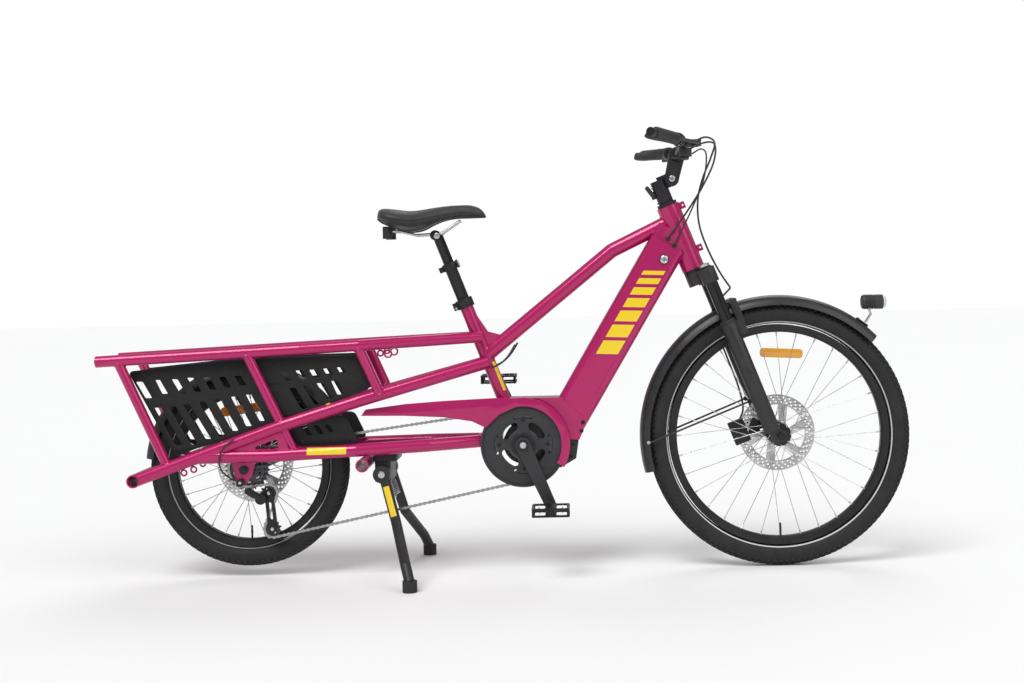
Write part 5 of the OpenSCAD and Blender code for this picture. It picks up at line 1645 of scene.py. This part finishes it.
class BIKE_OT_fork(bpy.types.Operator):
    """Suspension fork with its headset, seals, caps, lamp and front caliper"""

    bl_idname = "bike.fork"
    bl_label = "Fork"

    def execute(self, context):
        finished_node("headset_cups", "black_alloy", 0.0006)
        finished_node("fork_crown", "fork_black", 0.0025)
        finished_node("fork_stanchions", "stanchion")
        finished_node("fork_lowers", "fork_black", 0.0018)
        for node in ("front_caliper", "rear_caliper"):
            finished_node(node, "black_alloy", 0.0025)
        axis = (on_steerer(0, 0, 100) - on_steerer(0, 0, 0)).normalized()
        seals, caps = [], []
        for s in (-1, 1):
            seals.append(coloured(turned_about("seal", [
                (0.0163, 0.0), (0.0208, 0.0), (0.0213, 0.002), (0.0205, 0.006), (0.0180, 0.011), (0.0163, 0.011),
                (0.0163, 0.0)], on_steerer(24, s * 65, 317.6), axis, 48), "rubber"))
            caps.append(coloured(turned_about("leg_cap", [
                (0, 0.0), (0.0165, 0.0), (0.0165, 0.0028), (0.0142, 0.0044), (0.0095, 0.0044), (0.0090, 0.0062),
                (0.0052, 0.0062), (0, 0.0058)], on_steerer(24, s * 65, 471.6), axis, 40), "black_alloy"))
        dial = coloured(turned_about("dial", [
            (0, 0.004), (0.0125, 0.004), (0.0132, 0.005), (0.0132, 0.0115), (0.0118, 0.0128), (0, 0.0128)],
            on_steerer(24, -65, 471.6), axis, 40), "bright_steel")
        piece("fork_seals", joined("fork_seals", seals), "lower_fork")
        piece("fork_caps", joined("fork_caps", [*caps, dial]), "steerer")
        self.caliper_screws()
        self.lamp()
        return {"FINISHED"}

    def caliper_screws(self):
        front, rear = [], []
        for x, z in ((-62, 18), (-62, 60), (-36, 18), (-36, 60)):
            front.append((on_steerer(x, 48, z), (0, 1, 0), 0.0042, 0.003))
        for x, z in ((58, 40), (58, 62), (86, 40), (86, 62)):
            rear.append((at_rear(x, 72, z), (0, 1, 0), 0.0042, 0.003))
        piece("front_caliper_screws", screws(front), "lower_fork")
        piece("rear_caliper_screws", screws(rear), "frame")

    def lamp(self):
        middle = Vector((FRONT.x + 0.222, 0, FRONT.z + 0.338))
        shell = [(0, 0.0), (0.012, 0.0), (0.0165, 0.0015), (0.0178, 0.004)]
        for k in range(6):
            start = 0.007 + k * 0.0042
            shell += [(0.0190, start), (0.0190, start + 0.0021), (0.0172, start + 0.0024), (0.0172, start + 0.0040)]
        shell += [(0.0188, 0.034), (0.0190, 0.054), (0.0182, 0.0555), (0.0168, 0.0555), (0.0166, 0.050), (0, 0.050)]
        body = coloured(turned_about("lamp_shell", shell, middle, (1, 0, 0), 64), "disc_black")
        glass = coloured(turned_about("lamp_glass", [
            (0, 0.0505), (0.0160, 0.0505), (0.0166, 0.0535), (0.0162, 0.060), (0.0125, 0.0642), (0.006, 0.0657),
            (0, 0.0659)], middle, (1, 0, 0), 64), "lens")
        foot = FRONT + Vector((math.cos(math.radians(52)), 0, math.sin(math.radians(52)))) * (FRONT_R + 0.0212)
        out = Vector((math.cos(math.radians(52)), 0, math.sin(math.radians(52))))
        across = Vector((0, 1, 0))
        ahead = across.cross(out)
        place = Matrix((across, ahead, out)).transposed().to_4x4()
        place.translation = foot + out * 0.0018
        base = coloured(flat_plate(
            "lamp_base", soft_outline([(-11, -18), (11, -18), (11, 18), (-11, 18)], 5), [], 0.0034, place, 0.0006),
            "black_alloy")
        arm = coloured(loft("lamp_arm", [
            [p + Vector((0, y * MM, 0)) + d * MM for y, d in (
                (-w, Vector((-t, 0, 0))), (-w, Vector((t, 0, 0))), (w, Vector((t, 0, 0))), (w, Vector((-t, 0, 0))))]
            for p, w, t in ((foot + Vector((0.010, 0, 0.0)), 8, 3.2), (foot + Vector((0.024, 0, 0.022)), 6, 2.6),
                            (middle + Vector((0.020, 0, -0.020)), 6, 2.6), (middle + Vector((0.024, 0, -0.012)), 7, 3))
        ]), "bright_steel")
        arm = rounded(arm, 0.0008, 2, 30)
        heads = [(foot + out * 0.0034 + across * y * MM + ahead * x * MM, out, 0.0036, 0.002)
                 for x, y in ((-13, 0), (13, 0))]
        heads += [(middle + Vector((0.021, s * 0.006, -0.018)), (0, s, 0), 0.0042, 0.0026) for s in (-1, 1)]
        piece("headlight_unit", joined("headlight_unit", [body, glass, base, arm, screws(heads)]), "lower_fork",
              ["headlight"])


# ------------------------------------------------------------------ cockpit


GRIP_AXIS = Vector((-76, 145, 6)).normalized()


def grip_mesh(side):
    """An ergonomic grip: a ribbed barrel with a palm wing behind it, and a clamp ring at its inner end."""
    axis = Vector((GRIP_AXIS.x, side * GRIP_AXIS.y, GRIP_AXIS.z)).normalized()
    start = on_bar(-10, side * 205, 24) + axis * 0.012
    back = Vector((-1, 0, -0.22))
    back = (back - axis * back.dot(axis)).normalized()
    up = axis.cross(back) * side
    up = up if up.z > 0 else -up
    rings_ = []
    n = 44
    for i in range(n + 1):
        t = i / n
        reach = 0.1300 * t
        wing = 0.0
        if t > 0.25:
            wing = math.sin(min((t - 0.25) / 0.55, 1.0) * math.pi / 2) * 0.0135
        end = 1.0 - max(0.0, (t - 0.95) / 0.05) ** 2 * 0.22 - max(0.0, (0.03 - t) / 0.03) ** 2 * 0.12
        rib = 0.00035 * math.cos(t * 2 * math.pi * 22) if 0.08 < t < 0.93 else 0.0
        ring = []
        for k in range(32):
            a = 2 * math.pi * k / 32
            toward = math.cos(a)
            grow = max(toward, 0.0) ** 1.6 * wing
            thin = 1.0 - 0.22 * (wing / 0.0135) * abs(math.sin(a)) ** 2 * max(toward + 0.3, 0)
            r = (0.0152 + rib) * end
            ring.append(start + axis * reach + back * (toward * (r + grow)) + up * (math.sin(a) * r * thin))
        rings_.append(ring)
    barrel = coloured(loft("grip_barrel", rings_, sharp=60), "grip_rubber")
    clamp = coloured(turned_about("grip_clamp", [
        (0.0112, 0.0), (0.0156, 0.0), (0.0162, 0.0012), (0.0162, 0.0078), (0.0156, 0.009), (0.0112, 0.009),
        (0.0112, 0.0)], start - axis * 0.0092, axis, 40), "black_alloy")
    end_cap = coloured(turned_about("grip_plug", [
        (0, 0), (0.0108, 0), (0.0112, 0.001), (0.0112, 0.0018), (0.009, 0.003), (0, 0.0032)],
        start + axis * 0.1296, axis, 32), "rubber")
    head = screws([(start - axis * 0.0047 + up * -0.0158, -up, 0.0024, 0.0016)])
    return [barrel, clamp, end_cap, head]


def hose_paths():
    """Hoses and the shift cable from the levers to where they enter the frame or the caliper, in metres."""
    raw = {
        "front_hose": [(477, -156, 1086), (515, -118, 1104), (545, -50, 1096), (538, -8, 1060), (518, 8, 1010),
                       (505, 20, 955), (508, 32, 890), (530, 42, 825), (560, 46, 765), (588, 46, 722)],
        "rear_hose": [(477, 156, 1086), (520, 115, 1108), (552, 40, 1102), (545, -20, 1050), (510, -42, 980),
                      (460, -45, 905), (420, -36.5, 851)],
        "shift_cable": [(481, -130, 1062), (506, -100, 1076), (522, -62, 1062), (514, -56, 1000), (484, -60, 930),
                        (456, -50, 872), (436, -36.5, 834)],
    }
    return {k: smooth_line([Vector(p) * MM for p in v], 8) for k, v in raw.items()}


def frame_cable_paths():
    raw = {
        "loop_right": ([(20, -10, 586), (4, -19, 560), (-16, -25, 540), (-41, -25, 528)], 0.0025),
        "loop_left": ([(26, 10, 590), (8, 19, 562), (-14, 25, 541), (-41, 25, 528)], 0.0025),
        "derailleur_loop": ([(-690, -117, 366), (-714, -117, 348), (-727, -117, 322), (-727, -117, 300),
                             (-722, -113, 285), (-708, -106, 270), (-694, -99, 259)], 0.002),
    }
    return {k: (smooth_line([Vector(p) * MM for p in v], 8), r) for k, (v, r) in raw.items()}


class BIKE_OT_cockpit(bpy.types.Operator):
    """Adjustable stem, handlebar, grips, brake levers and shifter"""

    bl_idname = "bike.cockpit"
    bl_label = "Cockpit"

    def execute(self, context):
        finished_node("stem_base", "black_alloy", 0.0016)
        finished_node("stem_arm", "black_alloy", 0.0012)
        finished_node("stem_lever", "disc_black", 0.0008)
        finished_node("handlebar", "black_alloy")
        finished_node("brake_bodies", "disc_black", 0.0014)
        finished_node("brake_lever_right", "disc_black", 0.0008)
        finished_node("brake_lever_left", "disc_black", 0.0008)
        finished_node("shift_lever", "disc_black", 0.0008)
        piece("grip_pair", joined("grip_pair", [m for s in (-1, 1) for m in grip_mesh(s)]), BODY_OF["grips"],
              ["grips"])
        heads = [(on_steerer(36, s * 22.0, 718), (0, s, 0), 0.0078, 0.003) for s in (-1, 1)]
        piece("stem_bolts", screws(heads), BODY_OF["stem_arm"])
        clamp = [(on_bar(dx, y, dz), (dx, 0, dz), 0.0034, 0.0034)
                 for y in (-15, 15) for dx, dz in ((20.5, 7.5),)]
        piece("clamp_bolts", screws(clamp), BODY_OF["stem_arm"])
        base = [(on_steerer(-19.6, y, z), (on_steerer(-100, 0, 0) - on_steerer(0, 0, 0)), 0.0038, 0.003)
                for y, z in ((0, 674), (0, 716))]
        piece("stem_base_bolts", screws(base), BODY_OF["stem_base"])
        return {"FINISHED"}


class BIKE_OT_cables(bpy.types.Operator):
    """Brake hoses and shift cable, the front hose turning with the steerer, and the loops on the frame"""

    bl_idname = "bike.cables"
    bl_label = "Cables"

    def execute(self, context):
        for name, line in hose_paths().items():
            r = 0.002 if name == "shift_cable" else 0.0025
            tube = piece_free(name, wires([line], r, "cable_black", 12))
            if name == "front_hose":
                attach(tube, "steerer")
                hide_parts("control_cables")
            else:
                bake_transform(tube)
            2 * r
        grommets = [coloured(turned_about("grommet", [
            (0.0024, 0.0), (0.0058, 0.0), (0.0062, 0.0012), (0.0046, 0.0032), (0.0024, 0.0034), (0.0024, 0.0)],
            Vector((x, -36.8, z)) * MM, (0.2, -1, 0.3), 28), "rubber") for x, z in ((420, 851), (436, 834))]
        piece("hose_grommets", joined("hose_grommets", grommets), "frame")
        low = smooth_line([Vector((588, 46, 722)) * MM, on_steerer(2, 50, 350), on_steerer(-2, 58, 250),
                           on_steerer(-4, 60, 150), on_steerer(-14, 56, 92), on_steerer(-34, 46, 68)], 8)
        piece("front_hose_lower", wires([low], 0.0025, "cable_black", 12), "lower_fork")
        for name, (line, r) in frame_cable_paths().items():
            tube = piece(name, wires([line], r, "cable_black", 12), "frame",
                         ["frame_cables"] if name == "loop_right" else ())
            2 * r
        return {"FINISHED"}


def piece_free(name, mesh):
    """A piece that no body carries yet."""
    return new_object(name, mesh)


# ------------------------------------------------------------------ seat


SADDLE_STATIONS = (
    # distance from the tail, half width, height of the top, of the edge and of the underside below the top
    (0.000, 0.020, -0.0200, 0.010, 0.016),
    (0.004, 0.044, -0.0115, 0.018, 0.026),
    (0.014, 0.064, -0.0070, 0.024, 0.038),
    (0.032, 0.076, -0.0075, 0.026, 0.046),
    (0.056, 0.0795, -0.0105, 0.027, 0.053),
    (0.085, 0.074, -0.0140, 0.027, 0.054),
    (0.115, 0.061, -0.0115, 0.027, 0.052),
    (0.145, 0.046, -0.0065, 0.026, 0.043),
    (0.175, 0.0345, -0.0025, 0.024, 0.037),
    (0.205, 0.0270, -0.0002, 0.023, 0.035),
    (0.232, 0.0235, -0.0010, 0.022, 0.034),
    (0.254, 0.0215, -0.0055, 0.019, 0.029),
    (0.268, 0.0180, -0.0135, 0.014, 0.021),
    (0.276, 0.0120, -0.0230, 0.008, 0.0115),
    (0.2795, 0.0045, -0.0300, 0.003, 0.0045),
)


def saddle_ring(station, top, tail, groove, steps=40):
    x, half, rise, edge, under = station
    ring = []
    for k in range(steps):
        a = 2 * math.pi * k / steps
        c, s = math.cos(a), math.sin(a)
        y = half * math.copysign(abs(c) ** 0.72, c)
        if s >= 0:
            z = top + rise - edge * (1 - s ** 1.15)
            mid = math.exp(-(y / 0.009) ** 2) * min(max((x - 0.02) / 0.03, 0), 1) * min(max((0.235 - x) / 0.03, 0), 1)
            z -= groove * mid
        else:
            y *= 1 - 0.28 * (-s) ** 1.5
            z = top + rise - edge - (under - edge) * (-s) ** 0.8
        ring.append(Vector((tail + x, y, z)))
    return ring


class BIKE_OT_seat(bpy.types.Operator):
    """Two-stage seatpost, collar, saddle rails with bumpers, and the padded saddle"""

    bl_idname = "bike.seat"
    bl_label = "Seat"

    def execute(self, context):
        settings = context.scene.bike_seat
        finished_node("seat_clamp", "black_alloy", 0.0010)
        finished_node("seatpost_sleeve", "black_alloy", 0.0006)
        finished_node("seatpost", "stanchion", 0.0006)
        low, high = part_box("saddle")
        top, tail = high.z, low.x
        finished_node("saddle_rails", "bright_steel", 0.0, zones=(
            ("rubber", lambda c: c.x < tail + 0.0415 and abs(c.y) > 0.0225 and abs(c.z - (top - 0.0705)) < 0.017
             and math.hypot(c.x - tail - 0.028, abs(c.y) - 0.036) < 0.0134),))
        rings_ = []
        stations = smooth_stations(SADDLE_STATIONS, 4)
        for station in stations:
            rings_.append(saddle_ring(station, top, tail, settings.groove))
        body = loft("saddle_skin", rings_, sharp=80)
        skin = rounded(body, 0.0, 0, 0, 1)
        skin.shade_smooth()
        saddle = piece("saddle_cover", coloured(skin, "vinyl"), BODY_OF["saddle"], ["saddle"])
        seam, base = [], []
        for side in (1, -1):
            for station in (stations if side > 0 else list(reversed(stations))):
                x, half, rise, edge, under = station
                seam.append(Vector((tail + x, side * (half * 0.995), top + rise - edge - 0.0002)))
        piping = rings([seam], 0.0011, "rubber", 8)
        piece("saddle_piping", piping, BODY_OF["saddle"])
        shell = []
        for side in (1, -1):
            for station in (stations[2:-3] if side > 0 else list(reversed(stations[2:-3]))):
                x, half, rise, edge, under = station
                shell.append(Vector((tail + x, side * half * 0.74, top + rise - under + 0.001)))
        piece("saddle_base_rim", rings([shell], 0.0022, "disc_black", 8), BODY_OF["saddle"])
        self.small_parts()
        return {"FINISHED"}

    def small_parts(self):
        head = [(on_seat_tube(0, s * 30, 578), (0, s, 0), 0.0075, 0.003) for s in (-1, 1)]
        piece("saddle_clamp_bolts", screws(head), BODY_OF["seatpost"])
        axis = on_seat_tube(100, 0, 0) - on_seat_tube(0, 0, 0)
        disc = turned_about("sleeve_disc", [
            (0, 0.0082), (0.005, 0.0082), (0.0095, 0.0076), (0.0108, 0.0062), (0.0108, 0.0055), (0, 0.0055)],
            on_seat_tube(31.6 / 2 + 2.2, 0, 493), axis, 40)
        piece("sleeve_reflector", coloured(disc, "white_prism"), BODY_OF["seatpost_sleeve"])
        collar = [(on_seat_tube(-25, -10, 385), (0, -1, 0), 0.0036, 0.003)]
        piece("collar_bolts", screws(collar), "frame")


def smooth_stations(stations, per):
    """More saddle stations on a smooth curve through the given ones."""
    out, n = [], len(stations)
    for i in range(n - 1):
        a, b = stations[max(i - 1, 0)], stations[i]
        c, d = stations[i + 1], stations[min(i + 2, n - 1)]
        for s in range(per):
            u = s / per
            out.append(tuple(
                0.5 * (2 * q + (r - p) * u + (2 * p - 5 * q + 4 * r - t) * u * u + (3 * q - p - 3 * r + t) * u ** 3)
                for p, q, r, t in zip(a, b, c, d)))
    out.append(stations[-1])
    return out


# ------------------------------------------------------------------ stage


class BIKE_OT_stage(bpy.types.Operator):
    """Pale floor, soft studio lights and the camera"""

    bl_idname = "bike.stage"
    bl_label = "Stage"

    def execute(self, context):
        scene = context.scene
        floor = new_object("floor", mesh_of(
            "floor", [(-30, -30, -0.0005), (30, -30, -0.0005), (30, 30, -0.0005), (-30, 30, -0.0005)], [(0, 1, 2, 3)]))
        pale = Finish("pale_floor", Roughness=0.9)
        pale.set(Base_Color=pale.ramp(
            pale.noise(0.6, 2.0), (0.3, (0.925, 0.925, 0.925, 1)), (0.7, (0.935, 0.935, 0.935, 1))))
        floor.data.materials.append(pale.material)
        world = bpy.data.worlds.new("studio")
        scene.world = world
        world.use_nodes = True
        nodes, links = world.node_tree.nodes, world.node_tree.links
        back = nodes["Background"]
        seen = nodes.new("ShaderNodeBackground")
        seen.inputs["Strength"].default_value = 1.0
        back.inputs["Color"].default_value = (0.97, 0.98, 1.0, 1)
        back.inputs["Strength"].default_value = 0.36
        seen.inputs["Color"].default_value = (1.0, 1.0, 1.0, 1)
        ray, either = nodes.new("ShaderNodeLightPath"), nodes.new("ShaderNodeMixShader")
        links.new(ray.outputs["Is Camera Ray"], either.inputs["Fac"])
        links.new(back.outputs["Background"], either.inputs[1])
        links.new(seen.outputs["Background"], either.inputs[2])
        links.new(either.outputs["Shader"], nodes["World Output"].inputs["Surface"])
        scene.view_settings.view_transform = "Standard"
        for name, place, wide, power in (
                ("key", (-1.3, -2.2, 3.4), 30, 1.75), ("fill", (2.4, -2.2, 2.4), 45, 0.75),
                ("rim", (0.6, 2.6, 2.8), 35, 0.55)):
            lamp = bpy.data.lights.new(name, "SUN")
            lamp.angle, lamp.energy = math.radians(wide), power
            holder = bpy.data.objects.new(name, lamp)
            scene.collection.objects.link(holder)
            holder.location = place
            holder.rotation_euler = (-Vector(place)).to_track_quat("-Z", "Y").to_euler()
        camera = bpy.data.cameras.new("camera")
        camera.sensor_width, camera.lens = 36.0, 52.7
        camera.shift_x, camera.shift_y = -0.0600, -0.0560
        camera.clip_end = 200
        eye = bpy.data.objects.new("camera", camera)
        scene.collection.objects.link(eye)
        roll = math.radians(1.2)
        right = Vector((math.cos(roll), 0, -math.sin(roll)))
        up = Vector((math.sin(roll), 0, math.cos(roll)))
        eye.matrix_world = Matrix((
            (right.x, up.x, 0, 0.175), (right.y, up.y, -1, -3.900), (right.z, up.z, 0, 0.740), (0, 0, 0, 1)))
        scene.camera = eye
        return {"FINISHED"}


class BIKE_PT_panel(bpy.types.Panel):
    """Lists the pieces of the cargo bicycle"""

    bl_label = "Cargo bicycle"
    bl_idname = "BIKE_PT_panel"
    bl_space_type = "VIEW_3D"
    bl_region_type = "UI"
    bl_category = "Cargo bicycle"

    def draw(self, context):
        scene = context.scene
        for group in (scene.bike_frame, scene.bike_wheels, scene.bike_seat):
            for key in group.bl_rna.properties.keys():
                if key not in ("rna_type", "name"):
                    self.layout.prop(group, key)
        for operator in OPERATORS:
            self.layout.operator(operator.bl_idname)


SETTINGS = {"bike_frame": BikeFrameSettings, "bike_wheels": BikeWheelSettings, "bike_seat": BikeSeatSettings}
OPERATORS = (
    BIKE_OT_stage, BIKE_OT_main_frame, BIKE_OT_rear_frame, BIKE_OT_skirts, BIKE_OT_fenders, BIKE_OT_wheels,
    BIKE_OT_chain, BIKE_OT_drive, BIKE_OT_stand, BIKE_OT_fork, BIKE_OT_cockpit, BIKE_OT_cables, BIKE_OT_seat,
)


def register():
    for cls in (*SETTINGS.values(), *OPERATORS, BIKE_PT_panel):
        bpy.utils.register_class(cls)
    for key, cls in SETTINGS.items():
        setattr(bpy.types.Scene, key, bpy.props.PointerProperty(type=cls))


def unregister():
    for key in SETTINGS:
        delattr(bpy.types.Scene, key)
    for cls in reversed((*SETTINGS.values(), *OPERATORS, BIKE_PT_panel)):
        bpy.utils.unregister_class(cls)


def main():
    register()
    for operator in OPERATORS:
        group, name = operator.bl_idname.split(".")
        getattr(getattr(bpy.ops, group), name)()


if __name__ == "__main__":
    main()
